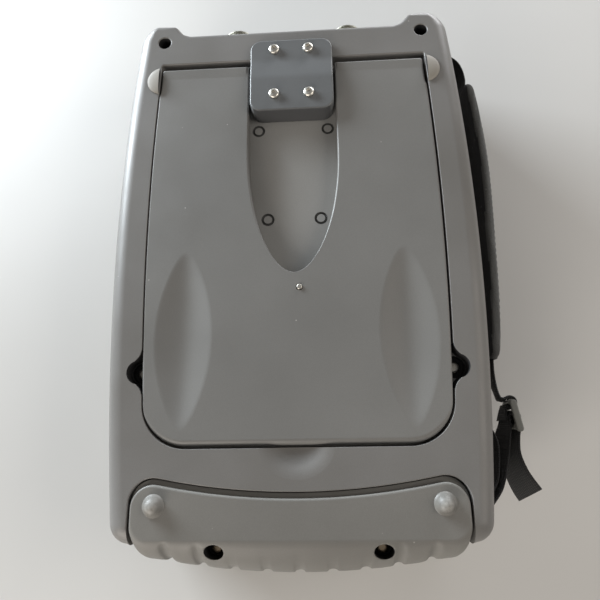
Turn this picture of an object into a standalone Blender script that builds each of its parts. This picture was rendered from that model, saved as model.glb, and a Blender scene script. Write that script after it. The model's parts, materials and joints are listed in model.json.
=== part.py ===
"""Handheld spectrum analyzer, lying on its face with its back up.

Every sub-part is one named object. Sizes are in metres. +X points to the hand strap, +Y to the
coaxial ports and +Z up out of the back. The pieces are modelled about the case's own middle, and
a parent empty then sets the middle of the whole object's box over the origin.
"""
import math
from collections import namedtuple

import bmesh
import bpy
from mathutils import Matrix, Vector

# Clearances between pieces
SEAT_GAP = 0.0003
RUN_GAP = 0.0004
DOOR_GAP = 0.0004
OVERCUT = 0.012

# The case: bowed long sides, rounded corners and a softly rounded back edge
CASE_HALF_WIDTH = 0.0936
CASE_BOW_RADIUS = 1.26
CASE_BOW_Y = 0.012
CASE_TOP = 0.1464
CASE_BOTTOM = -0.135
CASE_TOP_CORNER = 0.012
CASE_BOTTOM_CORNER = 0.010
CASE_BOTTOM_RISE = 0.007
CASE_DEPTH = 0.067
BACK_EDGE_RADIUS = 0.009
WALL = 0.004
PARTING_Z = 0.016
SEAL_THICKNESS = 0.001
SEAL_INSET = 0.0012
SEAL_WIDTH = 0.0022

# The two ears past the connector end, and the case screws in them
EAR_LENGTH = 0.0089
EAR_WIDTH = 0.0255
EAR_FILLET = 0.005
EAR_SCREW_FROM_TOP = 0.0138
EAR_SCREW_FROM_SIDE = 0.0162
EAR_WELL_RADIUS = 0.0036
EAR_WELL_DEPTH = 0.037
END_WALL = 0.0065
BOTTOM_WALL = 0.015
CORNER_BLOCK_LENGTH = 0.019
CORNER_BLOCK_REACH = 0.0136

# The folding stand, flush with the back, and its hinge
STAND_SIDE_LAND = 0.0188
STAND_BOW_RADIUS = 1.5
STAND_BOW_Y = 0.022
STAND_THICKNESS = 0.007
STAND_SINK = 0.0002
STAND_GAP = 0.0006
STAND_END_GAP = 0.0012
STAND_EDGE_RADIUS = 0.002
STAND_TOP_CORNER = 0.0012
STAND_BOTTOM_CORNER = 0.020
STAND_TO_BUMPER = 0.0136
POCKET_SKIN = 0.004
HINGE_SETBACK = 0.0267
HINGE_CLEARANCE = 0.0037
ROD_RADIUS = 0.0019
ROD_END_COVER = 0.0065
STAND_OPEN_LIMIT = 40.0

# The arch cut out of the stand
ARCH_HALF_WIDTH = 0.0235
ARCH_STRAIGHT = 0.0508
ARCH_ROUND = 0.065

# The scooped grips in the stand
GRIP_FROM_SIDE = 0.0205
GRIP_HALF_WIDTH = 0.0138
GRIP_LENGTH = 0.0845
GRIP_DEPTH = 0.0036
GRIP_FROM_BOTTOM = 0.0082

# The small stud in the stand
STUD_X = 0.0024
STUD_BELOW_ARCH = 0.0077
STUD_RADIUS = 0.0014
STUD_PROUD = 0.0007
STUD_DEPTH = 0.004

# The bracket over the hinge
BRACKET_HALF_WIDTH = 0.0224
BRACKET_ABOVE_HINGE = 0.0190
BRACKET_BELOW_HINGE = 0.0273
BRACKET_RISE = 0.004
BRACKET_FLANGE = 0.0017
BRACKET_SLOPE = 0.011
BRACKET_FLANGE_IN = 0.003
BRACKET_CORNER = 0.005
BRACKET_SCREW_X = 0.0093
BRACKET_SCREW_UP = 0.0110
BRACKET_SCREW_DOWN = 0.0179
BRACKET_SCREW_COVER = 0.0013

# Screws
SCREW_HEAD_RADIUS = 0.0028
SCREW_HEAD_HEIGHT = 0.0017
SCREW_HEAD_ROUND = 0.0006
SCREW_SHANK_RADIUS = 0.0015
SCREW_GRIP = 0.006
SIDE_SCREW_OUT = 0.0023
SIDE_SCREW_FROM_BOTTOM = 0.0343
SIDE_WELL_RADIUS = 0.0057
SIDE_WELL_DEPTH = 0.010
SIDE_BOSS_REACH = 0.007

# Half-moon feet beside the hinge
FOOT_RADIUS = 0.0083
FOOT_HEIGHT = 0.0036
FOOT_CENTRE_IN = 0.0016
FOOT_BELOW_HINGE = 0.0033

# The finger notch under the stand's free edge
NOTCH_HALF_WIDTH = 0.013
NOTCH_REACH = 0.0052
NOTCH_DEPTH = 0.006

# The bumper over the lower end
BUMPER_REACH = 0.0092
BUMPER_ARC_RADIUS = 0.36
BUMPER_LENGTH = 0.0316
BUMPER_DIP = 0.0062
BUMPER_SIDE_LAND = 0.0184
BUMPER_CORNER = 0.010
BUMPER_FOOT_CORNER = 0.008
BUMPER_TOP_GAP = 0.0028
BUMPER_SIDE_GAP = 0.0015
BUMPER_PLATE = 0.006
BUMPER_PROUD = 0.0005
BUMPER_SLOPE_HEIGHT = 0.0225
BUMPER_RIDGE_IN = 0.0168
BUMPER_SKIRT = 0.006
BUMPER_STEP = 0.0045
BUMPER_LEDGE = 0.010
SCALLOP_END_LAND = 0.0028
SCALLOP_HALF_WIDTH = 0.0028
SCALLOP_DEPTH = 0.0017
SCALLOP_PAIRS = 4
DOME_FROM_SIDE = 0.0108
DOME_FROM_APEX = 0.0089
DOME_RADIUS = 0.0056
DOME_HEIGHT = 0.0045
BUMPER_SCREW_FROM_DOME = 0.0271
BUMPER_SCREW_FROM_END = 0.003
BUMPER_WELL_RADIUS = 0.0046
BUMPER_WELL_DEPTH = 0.013
BUMPER_WELL_FLOOR_THICKNESS = 0.0025

# Coaxial ports and their plate at the top end
PORT_FROM_PLATE_END = 0.0227
PORT_BELOW_BACK = 0.021
PORT_BARREL_RADIUS = 0.008
PORT_BORE_RADIUS = 0.0043
PORT_PIN_RADIUS = 0.0015
PORT_BODY_RADIUS = 0.006
PORT_FLANGE_RADIUS = 0.010
PORT_FLANGE_THICKNESS = 0.0023
PORT_BARREL_LENGTH = 0.008
PORT_MOUTH_DEPTH = 0.009
PORT_PIN_RECESS = 0.0052
PORT_TAIL = 0.0055
PLATE_THICKNESS = 0.0016
PLATE_END_LAND = 0.0068
PLATE_BELOW_BACK = 0.007
PLATE_HEIGHT = 0.036

# The front face: rim, window and key field
FRONT_EDGE_RADIUS = 0.005
RIM_WIDTH = 0.007
FACE_RECESS = 0.002
FACE_THICKNESS = 0.003
FACE_BLOCK = 0.0068
BOARD_LEDGE = 0.004
BOARD_LEDGE_Z = 0.012
DISPLAY_FROM_END = 0.031
DISPLAY_HALF_WIDTH = 0.067
DISPLAY_HEIGHT = 0.100
WINDOW_LIP = 0.003
WINDOW_THICKNESS = 0.0014
MODULE_LIP = 0.006
MODULE_THICKNESS = 0.006

# Keys in the front face
KEY_WIDTH = 0.017
KEY_HEIGHT = 0.012
KEY_SPACING_X = 0.004
KEY_SPACING_Y = 0.005
KEY_CORNER = 0.002
KEY_PROUD = 0.0012
KEY_FLANGE = 0.0012
KEY_FLANGE_THICKNESS = 0.0011
KEY_CHAMFER = 0.0005
KEY_TRAVEL = 0.0012
KEY_STOP_GAP = 0.0002
SOFTKEY_HEIGHT = 0.009
SOFTKEY_COUNT = 6
SOFTKEY_DROP = 0.017
DIGIT_ROWS = (("7", "8", "9"), ("4", "5", "6"), ("1", "2", "3"), ("point", "0", "sign"))
DIGIT_DROP = 0.021
POWER_X = 0.022
POWER_DROP = 0.017
MAT_THICKNESS = 0.001
BOARD_THICKNESS = 0.0016
KEY_FIELD_MARGIN = 0.002

# The tuning knob, its dish and its encoder
KNOB_X = 0.034
KNOB_BELOW_SOFTKEYS = 0.049
KNOB_RADIUS = 0.019
KNOB_GRIP_RADIUS = 0.017
KNOB_HEIGHT = 0.0083
KNOB_BEVEL = 0.0025
KNOB_DISH_GAP = 0.0035
KNOB_DISH_FLOOR = 0.0098
KNOB_DISH_WALL = 0.003
KNOB_STEM_RADIUS = 0.003
KNOB_STEM_LENGTH = 0.0065
ENCODER_HALF_WIDTH = 0.007
ENCODER_HEIGHT = 0.007

# Pieces inside the case
MAIN_BOARD_MARGIN = 0.0004
MAIN_BOARD_KNOB_GAP = 0.0025
RF_MODULE_HALF_WIDTH = 0.054
RF_MODULE_LENGTH = 0.080
BATTERY_REACH = 0.126
BATTERY_END_GAP = 0.005
BATTERY_THICKNESS = 0.0215
PORT_BLOCK_DEPTH = 0.020
PORT_BLOCK_HEIGHT = 0.027
SOCKET_DEPTH = 0.010
SOCKET_SIZES = ((0.0124, 0.0098), (0.0136, 0.0062), (0.0136, 0.0062))
SOCKET_SPACING = 0.004

# Doors in the side away from the strap
DOOR_THICKNESS = 0.0022
DOOR_HEIGHT = 0.0258
DOOR_BELOW_BACK = 0.011
DOOR_LIP = 0.002
DOOR_PIN_RADIUS = 0.0007
DOOR_PIN_LENGTH = 0.0012
DOOR_SPACING = 0.008
BATTERY_DOOR_FROM_BOSS = 0.003
BATTERY_DOOR_LENGTH = 0.078
CONNECTOR_DOOR_LENGTH = 0.062

# The hand strap: two runs of webbing, a padded sleeve, a buckle and two pins
WEB_WIDTH = 0.025
WEB_THICKNESS = 0.0016
WEB_MIDDLE_Z = 0.033
WEB_NOTCH_GAP = 0.001
PIN_RADIUS = 0.002
PIN_SEAT = 0.0045
UPPER_PIN_FROM_TOP = 0.0129
UPPER_PIN_FROM_SIDE = 0.0063
LOWER_PIN_FROM_BOTTOM = 0.0185
LOWER_PIN_FROM_SIDE = 0.0068
NOTCH_HALF_HEIGHT = 0.0065
NOTCH_BEHIND_PIN = 0.0048
PIN_BLOCK_REACH = 0.0125
PIN_BLOCK_LENGTH = 0.016
PAD_WIDTH = 0.038
PAD_THICKNESS = 0.0046
PAD_END_THICKNESS = 0.0038
PAD_END_TAPER = 0.012
PAD_DRAW_IN = 0.001
PAD_FULLNESS = 0.6
PAD_FROM_PIN = 0.0305
PAD_LENGTH = 0.150
PAD_OUT_TOP = 0.012
PAD_OUT_BOTTOM = 0.0067
BUCKLE_ABOVE_PIN = 0.036
BUCKLE_LENGTH = 0.0117
BUCKLE_OUT = 0.0158
BUCKLE_LEAN = 0.0014
BUCKLE_BAR_RADIUS = 0.0015
BUCKLE_RAIL = 0.0027
BUCKLE_RAIL_RADIUS = 0.0033
TAIL_LENGTH = 0.0295
TAIL_OUT = 0.006

# How finely curves are cut into flats
CORNER_STEPS = 5
SIDE_STEPS = 8
EDGE_STEPS = 4
ROUND_STEPS = 16
FINE_STEPS = 10
END_STEPS = 3
SMOOTH_ANGLE = math.radians(32)
SMALLEST_CORNER = 0.0004

# Places worked out from the driving sizes
Panel = namedtuple("Panel", "half bow_radius bow_y top bottom top_corner bottom_corner bottom_rise")
CASE = Panel(CASE_HALF_WIDTH, CASE_BOW_RADIUS, CASE_BOW_Y, CASE_TOP, CASE_BOTTOM,
             CASE_TOP_CORNER, CASE_BOTTOM_CORNER, CASE_BOTTOM_RISE)
PANEL_Y = CASE_TOP - EAR_LENGTH
SHELL_LIFT = SEAL_THICKNESS / 2 + SEAT_GAP
REAR_LOW = PARTING_Z + SHELL_LIFT
FRONT_HIGH = PARTING_Z - SHELL_LIFT
HINGE_Y = PANEL_Y - HINGE_SETBACK
HINGE_Z = CASE_DEPTH - STAND_SINK - STAND_THICKNESS / 2
POCKET_FLOOR = HINGE_Z - STAND_THICKNESS / 2 - SEAT_GAP
POCKET_TOP = HINGE_Y + STAND_THICKNESS / 2 + HINGE_CLEARANCE
CEILING = POCKET_FLOOR - POCKET_SKIN
BUMPER_APEX = CASE_BOTTOM + BUMPER_LENGTH
BUMPER_END = CASE_BOTTOM - BUMPER_REACH
BUMPER_HALF_WIDTH = CASE_HALF_WIDTH - BUMPER_SIDE_LAND
BUMPER_FLAT_HALF = BUMPER_HALF_WIDTH - BUMPER_FOOT_CORNER
SCALLOP_PITCH = (BUMPER_FLAT_HALF - SCALLOP_HALF_WIDTH - SCALLOP_END_LAND) / SCALLOP_PAIRS
DOME_X = BUMPER_HALF_WIDTH - DOME_FROM_SIDE
BUMPER_SCREW_X = DOME_X - BUMPER_SCREW_FROM_DOME
BUMPER_SEAT = CASE_DEPTH - BUMPER_PLATE
BUMPER_STEP_Y = CASE_BOTTOM + BUMPER_STEP
BUMPER_LEDGE_Y = CASE_BOTTOM + BUMPER_LEDGE
BUMPER_LOW = REAR_LOW + BUMPER_SKIRT
STAND_BOTTOM = BUMPER_APEX + BUMPER_TOP_GAP + STAND_TO_BUMPER
STAND_HALF_WIDTH = CASE_HALF_WIDTH - STAND_SIDE_LAND
GRIP_X = STAND_HALF_WIDTH - GRIP_FROM_SIDE
STAND = Panel(STAND_HALF_WIDTH, STAND_BOW_RADIUS, STAND_BOW_Y, HINGE_Y, STAND_BOTTOM,
              STAND_TOP_CORNER, STAND_BOTTOM_CORNER, 0.0)
ARCH_TIP = HINGE_Y - ARCH_STRAIGHT - ARCH_ROUND
FACE_INNER = FACE_RECESS + FACE_THICKNESS
FACE_BLOCK_INNER = FACE_RECESS + FACE_BLOCK
CAVITY_TOP = PANEL_Y - END_WALL


def side_x(panel, y, inset=0.0):
    """Half width of a bowed panel at one place along it."""
    return panel.half - inset - (y - panel.bow_y) ** 2 / (2 * panel.bow_radius)


EAR_SCREW_Y = CASE_TOP - EAR_SCREW_FROM_TOP
EAR_SCREW_X = side_x(CASE, EAR_SCREW_Y) - EAR_SCREW_FROM_SIDE
EAR_INNER = side_x(CASE, PANEL_Y) - EAR_WIDTH
PLATE_HALF_WIDTH = EAR_INNER - PLATE_END_LAND
PORT_X = PLATE_HALF_WIDTH - PORT_FROM_PLATE_END
SIDE_SCREW_Y = STAND_BOTTOM + SIDE_SCREW_FROM_BOTTOM
SIDE_SCREW_X = side_x(STAND, SIDE_SCREW_Y) + SIDE_SCREW_OUT
UPPER_PIN_Y = CASE_TOP - UPPER_PIN_FROM_TOP
UPPER_PIN_X = side_x(CASE, UPPER_PIN_Y) - UPPER_PIN_FROM_SIDE
LOWER_PIN_Y = CASE_BOTTOM + LOWER_PIN_FROM_BOTTOM
LOWER_PIN_X = side_x(CASE, LOWER_PIN_Y) - LOWER_PIN_FROM_SIDE
CAVITY_BOTTOM = CASE_BOTTOM + BOTTOM_WALL
BUMPER_SCREW_Y = CASE_BOTTOM + BUMPER_SCREW_FROM_END
BUMPER_WELL_FLOOR = CASE_DEPTH - BUMPER_WELL_DEPTH
BUMPER_LEDGE_Z = BUMPER_WELL_FLOOR - BUMPER_WELL_FLOOR_THICKNESS
BUMPER_SCREW_END = BUMPER_LEDGE_Z - SCREW_GRIP
DISPLAY_TOP = PANEL_Y - DISPLAY_FROM_END
DISPLAY_BOTTOM = DISPLAY_TOP - DISPLAY_HEIGHT
KEY_PITCH_X = KEY_WIDTH + KEY_SPACING_X
KEY_PITCH_Y = KEY_HEIGHT + KEY_SPACING_Y
KEY_FACE = FACE_RECESS - KEY_PROUD
SOFTKEY_Y = DISPLAY_BOTTOM - SOFTKEY_DROP
FIRST_DIGIT_Y = SOFTKEY_Y - DIGIT_DROP
LAST_DIGIT_Y = FIRST_DIGIT_Y - KEY_PITCH_Y * (len(DIGIT_ROWS) - 1)
POWER_Y = LAST_DIGIT_Y - POWER_DROP
FIRST_KEY_X = -KEY_PITCH_X * (SOFTKEY_COUNT - 1) / 2
KEY_FLANGE_TOP = FACE_INNER + SEAT_GAP + KEY_FLANGE_THICKNESS
MAT_Z = KEY_FLANGE_TOP + KEY_TRAVEL + KEY_STOP_GAP
KEY_BOARD_Z = max(MAT_Z + MAT_THICKNESS, FACE_BLOCK_INNER) + SEAT_GAP
KNOB_Y = SOFTKEY_Y - KNOB_BELOW_SOFTKEYS
KNOB_DISH_RADIUS = KNOB_RADIUS + KNOB_DISH_GAP
KNOB_BOSS_RADIUS = KNOB_DISH_RADIUS + KNOB_DISH_WALL
KNOB_BOSS_TOP = KNOB_DISH_FLOOR + KNOB_DISH_WALL
MAIN_BOARD_Z = BOARD_LEDGE_Z + SEAT_GAP
MAIN_BOARD_BOTTOM = KNOB_Y + KNOB_BOSS_RADIUS + MAIN_BOARD_KNOB_GAP
PLATE_Y = PANEL_Y + SEAT_GAP
PORT_Y = PLATE_Y + PLATE_THICKNESS + SEAT_GAP
PORT_Z = CASE_DEPTH - PORT_BELOW_BACK
PORT_TAIL_Y = CAVITY_TOP - PORT_TAIL
PORT_END = PORT_Y + PORT_FLANGE_THICKNESS + PORT_BARREL_LENGTH
DOOR_AXIS_Z = CASE_DEPTH - DOOR_BELOW_BACK
BATTERY_DOOR_LOW = SIDE_SCREW_Y + SIDE_BOSS_REACH + BATTERY_DOOR_FROM_BOSS
CONNECTOR_DOOR_LOW = BATTERY_DOOR_LOW + BATTERY_DOOR_LENGTH + DOOR_SPACING
BUCKLE_LOW = LOWER_PIN_Y + BUCKLE_ABOVE_PIN
LOWER_BAR = Vector((side_x(CASE, BUCKLE_LOW) + BUCKLE_OUT, BUCKLE_LOW))
UPPER_BAR = LOWER_BAR + Vector((-BUCKLE_LEAN, BUCKLE_LENGTH))
TURN_RADIUS = BUCKLE_BAR_RADIUS + RUN_GAP + WEB_THICKNESS / 2
TAIL_END = LOWER_BAR + Vector((TURN_RADIUS + TAIL_OUT, -TAIL_LENGTH))
STRAP_REACH = TAIL_END.x + WEB_THICKNESS / 2
WEB_LOW = WEB_MIDDLE_Z - WEB_WIDTH / 2
WEB_HIGH = WEB_MIDDLE_Z + WEB_WIDTH / 2
FRAME_X = (CASE_HALF_WIDTH - STRAP_REACH) / 2
FRAME_Y = -(PORT_END + BUMPER_END) / 2


# Scene and finishes
for leftover in list(bpy.data.objects):
    bpy.data.objects.remove(leftover, do_unlink=True)

case_frame = bpy.data.objects.new("case_frame", None)
case_frame.location = (FRAME_X, FRAME_Y, 0.0)
bpy.context.collection.objects.link(case_frame)


def finish(name, colour, roughness, metallic=0.0):
    """A plain Principled material."""
    made = bpy.data.materials.new(name)
    made.use_nodes = True
    shader = made.node_tree.nodes["Principled BSDF"]
    shader.inputs["Base Color"].default_value = (*colour, 1.0)
    shader.inputs["Roughness"].default_value = roughness
    shader.inputs["Metallic"].default_value = metallic
    return made


CASE_GREY = finish("case_grey", (0.18, 0.17, 0.155), 0.5)
STAND_GREY = finish("stand_grey", (0.195, 0.19, 0.175), 0.48)
BUMPER_GREY = finish("bumper_grey", (0.185, 0.18, 0.165), 0.55)
BRACKET_GREY = finish("bracket_grey", (0.155, 0.16, 0.165), 0.5)
FOOT_RUBBER = finish("foot_rubber", (0.38, 0.34, 0.29), 0.8)
SCREW_STEEL = finish("screw_steel", (0.62, 0.6, 0.56), 0.3, 1.0)
PORT_METAL = finish("port_metal", (0.6, 0.6, 0.58), 0.28, 1.0)
PLATE_METAL = finish("plate_metal", (0.5, 0.5, 0.5), 0.45, 1.0)
SEAL_BLACK = finish("seal_black", (0.02, 0.02, 0.02), 0.85)
STRAP_BLACK = finish("strap_black", (0.02, 0.02, 0.02), 0.9)
PAD_GREY = finish("pad_grey", (0.05, 0.05, 0.047), 0.92)
BUCKLE_PLASTIC = finish("buckle_plastic", (0.11, 0.11, 0.1), 0.5)
WINDOW_GLASS = finish("window_glass", (0.01, 0.012, 0.015), 0.08)
MODULE_BLACK = finish("module_black", (0.03, 0.03, 0.035), 0.4)
KEY_GREY = finish("key_grey", (0.3, 0.3, 0.29), 0.6)
POWER_GREEN = finish("power_green", (0.05, 0.3, 0.1), 0.5)
KNOB_BLACK = finish("knob_black", (0.04, 0.04, 0.04), 0.55)
MAT_RUBBER = finish("mat_rubber", (0.25, 0.25, 0.25), 0.8)
BOARD_GREEN = finish("board_green", (0.02, 0.16, 0.06), 0.5)
SHIELD_METAL = finish("shield_metal", (0.65, 0.65, 0.64), 0.4, 1.0)
BATTERY_BLACK = finish("battery_black", (0.05, 0.05, 0.055), 0.5)


# Modelling tools
def add_piece(name, bm, material, origin=(0.0, 0.0, 0.0), turn=0.0):
    """Make an object of a closed shape and set its origin, and its turn about Z, in the case."""
    bmesh.ops.recalc_face_normals(bm, faces=bm.faces[:])
    mesh = bpy.data.meshes.new(name)
    bm.to_mesh(mesh)
    bm.free()
    place = Matrix.Translation(origin) @ Matrix.Rotation(turn, 4, "Z")
    mesh.transform(place.inverted())
    mesh.shade_smooth()
    mesh.set_sharp_from_angle(angle=SMOOTH_ANGLE)
    piece = bpy.data.objects.new(name, mesh)
    piece.parent = case_frame
    piece.location = origin
    piece.rotation_euler.z = turn
    bpy.context.collection.objects.link(piece)
    if material:
        mesh.materials.append(material)
    return piece


def carve(piece, label, bm, operation="DIFFERENCE"):
    """Cut a shape out of a piece, or join it on, with a hidden tool object."""
    tool = add_piece(f"{piece.name}_{label}_tool", bm, None)
    tool.hide_render = True
    tool.display_type = "WIRE"
    step = piece.modifiers.new(label, "BOOLEAN")
    step.operation = operation
    step.solver = "EXACT"
    step.object = tool


def arc(centre_x, centre_y, radius, start, end, steps=CORNER_STEPS):
    """Points along an arc, angles in degrees."""
    points = []
    for k in range(steps + 1):
        angle = math.radians(start + (end - start) * k / steps)
        points.append((centre_x + radius * math.cos(angle), centre_y + radius * math.sin(angle)))
    return points


def mirrored(right):
    """Close an outline whose right half runs from bottom to top."""
    return right + [(-x, y) for x, y in reversed(right)]


def bottom_y(panel, x, inset=0.0):
    """Lower edge of a panel, which rises towards its corners."""
    return panel.bottom + inset + panel.bottom_rise * (x / panel.half) ** 2


def bowed_outline(panel, inset=0.0):
    """Outline of a panel with bowed sides and round corners, drawn in by an inset."""
    low_radius = max(panel.bottom_corner - inset, SMALLEST_CORNER)
    high_radius = max(panel.top_corner - inset, SMALLEST_CORNER)
    end_x = panel.half - inset - low_radius
    end_tilt = math.atan(2 * panel.bottom_rise * end_x / panel.half ** 2)
    low_y = bottom_y(panel, end_x, inset) + low_radius * math.cos(end_tilt)
    high_y = panel.top - inset - high_radius
    low_lean = math.atan((panel.bow_y - low_y) / panel.bow_radius)
    high_lean = math.atan((high_y - panel.bow_y) / panel.bow_radius)
    low_x = side_x(panel, low_y, inset) - low_radius / math.cos(low_lean)
    high_x = side_x(panel, high_y, inset) - high_radius / math.cos(high_lean)
    right = []
    if panel.bottom_rise:
        for k in range(END_STEPS):
            x = low_x * (k + 0.5) / END_STEPS
            right.append((x, bottom_y(panel, x, inset)))
    right += arc(low_x, low_y, low_radius, math.degrees(end_tilt) - 90, -math.degrees(low_lean))
    start = right[-1][1]
    end = high_y + high_radius * math.sin(high_lean)
    for k in range(1, SIDE_STEPS):
        y = start + (end - start) * k / SIDE_STEPS
        right.append((side_x(panel, y, inset), y))
    right += arc(high_x, high_y, high_radius, math.degrees(high_lean), 90)
    return mirrored(right)


def rectangle(half_x, low_y, high_y, corner=0.0, steps=1):
    """Rectangle about X = 0, with round or clipped corners."""
    if not corner:
        return mirrored([(half_x, low_y), (half_x, high_y)])
    right = arc(half_x - corner, low_y + corner, corner, -90, 0, steps)
    right += arc(half_x - corner, high_y - corner, corner, 0, 90, steps)
    return mirrored(right)


def shifted(outline, x, y):
    """The same outline in another place."""
    return [(px + x, py + y) for px, py in outline]


def at_height(outline, z):
    """An outline's points at one height."""
    return [(x, y, z) for x, y in outline]


def loft(rings):
    """Closed solid through rings of equally many points."""
    bm = bmesh.new()
    loops = [[bm.verts.new(point) for point in ring] for ring in rings]
    bm.faces.new(loops[0])
    bm.faces.new(loops[-1])
    for lower, upper in zip(loops, loops[1:]):
        for k in range(len(lower)):
            bm.faces.new((lower[k - 1], lower[k], upper[k], upper[k - 1]))
    return bm


def prism(outline, low, high):
    """Straight solid of an outline between two heights."""
    return loft([at_height(outline, low), at_height(outline, high)])


def ring_prism(outer, inner, low, high):
    """Straight ring between two outlines of equally many points."""
    bm = bmesh.new()
    rings = (at_height(outer, low), at_height(outer, high), at_height(inner, high), at_height(inner, low))
    loops = [[bm.verts.new(point) for point in ring] for ring in rings]
    for j, ring in enumerate(loops):
        previous = loops[j - 1]
        for k in range(len(ring)):
            bm.faces.new((previous[k - 1], previous[k], ring[k], ring[k - 1]))
    return bm


def block(x, y, z):
    """Plain block from three pairs of limits."""
    return prism([(x[0], y[0]), (x[1], y[0]), (x[1], y[1]), (x[0], y[1])], z[0], z[1])


def turned(profile, steps=ROUND_STEPS, x=0.0, y=0.0):
    """Solid turned about an upright axis from (radius, height) points that start and end on it."""
    bm = bmesh.new()
    points = [bm.verts.new((radius, 0.0, height)) for radius, height in profile]
    for first, second in zip(points, points[1:]):
        bm.edges.new((first, second))
    bmesh.ops.spin(bm, geom=bm.verts[:] + bm.edges[:], cent=(0, 0, 0), axis=(0, 0, 1),
                   dvec=(0, 0, 0), angle=2 * math.pi, steps=steps, use_merge=True)
    bmesh.ops.remove_doubles(bm, verts=bm.verts[:], dist=1e-7)
    bmesh.ops.translate(bm, verts=bm.verts[:], vec=(x, y, 0.0))
    return bm


def cylinder(radius, low, high, x=0.0, y=0.0, steps=ROUND_STEPS):
    """Upright cylinder."""
    return turned([(0.0, low), (radius, low), (radius, high), (0.0, high)], steps, x, y)


def screw_well(radius, floor, hole, low, x, y):
    """Tool for a screw's well and the narrower hole under it."""
    high = CASE_DEPTH + OVERCUT
    return turned([(0.0, low), (hole, low), (hole, floor), (radius, floor), (radius, high), (0.0, high)],
                  ROUND_STEPS, x, y)


def joined(shapes):
    """Put separate shapes into one tool."""
    whole = bmesh.new()
    for shape in shapes:
        scrap = bpy.data.meshes.new("scrap")
        shape.to_mesh(scrap)
        shape.free()
        whole.from_mesh(scrap)
        bpy.data.meshes.remove(scrap)
    return whole


def along_x(bm, y, z):
    """Lay a shape that was made about Z along X instead."""
    place = Matrix.Translation((0, y, z)) @ Matrix.Rotation(math.pi / 2, 4, "Y")
    bmesh.ops.transform(bm, verts=bm.verts[:], matrix=place)
    return bm


def along_y(bm, x, z):
    """Lay a shape that was made about Z along Y instead, its top towards +Y."""
    place = Matrix.Translation((x, 0, z)) @ Matrix.Rotation(-math.pi / 2, 4, "X")
    bmesh.ops.transform(bm, verts=bm.verts[:], matrix=place)
    return bm


def prism_along_x(outline, half_x):
    """Solid of a (y, z) outline, as long both ways along X."""
    return loft([[(-half_x, y, z) for y, z in outline], [(half_x, y, z) for y, z in outline]])


def smooth_path(points, steps=4):
    """A smooth curve through points in the plane."""
    ends = [points[0] * 2 - points[1]] + points + [points[-1] * 2 - points[-2]]
    path = []
    for a, b, c, d in zip(ends, ends[1:], ends[2:], ends[3:]):
        for k in range(steps):
            t = k / steps
            path.append(((2 * b) + (c - a) * t + (2 * a - 5 * b + 4 * c - d) * t ** 2
                         + (3 * b - a - 3 * c + d) * t ** 3) / 2)
    return path + [points[-1]]


def across_path(path, k):
    """Unit direction across a path at one of its points."""
    ahead = path[min(k + 1, len(path) - 1)] - path[max(k - 1, 0)]
    return Vector((-ahead.y, ahead.x)).normalized()


def ribbon(path, thickness, low, high):
    """A flat strap on edge that follows a path in the plane."""
    left, right = [], []
    for k, point in enumerate(path):
        across = across_path(path, k) * thickness / 2
        left.append(tuple(point + across))
        right.append(tuple(point - across))
    return prism(left + right[::-1], low, high)


# Rear shell
def cavity_outline(side_wall):
    """Inside of the case, drawn in at the corner blocks and at the side screw bosses."""
    top_block = CAVITY_TOP - CORNER_BLOCK_LENGTH
    low_block = CAVITY_BOTTOM + PIN_BLOCK_LENGTH
    top_half = EAR_SCREW_X - CORNER_BLOCK_REACH
    low_half = LOWER_PIN_X - PIN_BLOCK_REACH
    boss_half = SIDE_SCREW_X - SIDE_BOSS_REACH
    boss_low = SIDE_SCREW_Y - SIDE_BOSS_REACH
    boss_high = SIDE_SCREW_Y + SIDE_BOSS_REACH
    right = [(low_half, CAVITY_BOTTOM), (low_half, low_block)]
    right += [(side_x(CASE, y, side_wall), y) for y in (low_block, boss_low)]
    right += [(boss_half, boss_low), (boss_half, boss_high)]
    for k in range(SIDE_STEPS):
        y = boss_high + (top_block - boss_high) * k / (SIDE_STEPS - 1)
        right.append((side_x(CASE, y, side_wall), y))
    right += [(top_half, top_block), (top_half, CAVITY_TOP)]
    return mirrored(right)


def bumper_bottom(x, slope):
    """Lower edge of the bumper: an arc low down, and a straight ridge at the top."""
    ridge = BUMPER_END + BUMPER_RIDGE_IN
    return (BUMPER_END + x ** 2 / (2 * BUMPER_ARC_RADIUS)) * (1 - slope) + ridge * slope


def bumper_outline(slope=0.0, notch=0.0, inset=0.0, top_gap=0.0, side_gap=0.0):
    """Outline of the bumper at one height, or of its pocket when gaps are given."""
    half = BUMPER_HALF_WIDTH + side_gap - inset
    corner = BUMPER_CORNER + side_gap - inset
    centre_x = half - corner
    centre_y = BUMPER_APEX + top_gap - inset - corner
    lean = math.atan(2 * BUMPER_DIP / centre_x)
    shoulder_x = centre_x - corner * math.sin(lean)
    shoulder_y = centre_y + corner * math.cos(lean)
    foot = BUMPER_FOOT_CORNER
    foot_y = bumper_bottom(half - foot, slope) + inset + foot
    right = [(SCALLOP_HALF_WIDTH, bumper_bottom(0.0, slope) + inset)]
    for k in range(1, SCALLOP_PAIRS + 1):
        for side, depth in ((-1, 0.0), (0, notch), (1, 0.0)):
            x = k * SCALLOP_PITCH + side * SCALLOP_HALF_WIDTH
            right.append((x, bumper_bottom(x, slope) + inset + depth))
    right += arc(half - foot, foot_y, foot, -90, 0)
    right += arc(centre_x, centre_y, corner, 0, 90 + math.degrees(lean))
    for k in range(EDGE_STEPS, 0, -1):
        x = shoulder_x * k / (EDGE_STEPS + 1)
        right.append((x, shoulder_y - BUMPER_DIP * (1 - (x / shoulder_x) ** 2)))
    middle_top = (0.0, shoulder_y - BUMPER_DIP)
    middle_low = (0.0, bumper_bottom(0.0, slope) + inset + notch)
    return [middle_low] + right + [middle_top] + [(-x, y) for x, y in reversed(right)]


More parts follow.
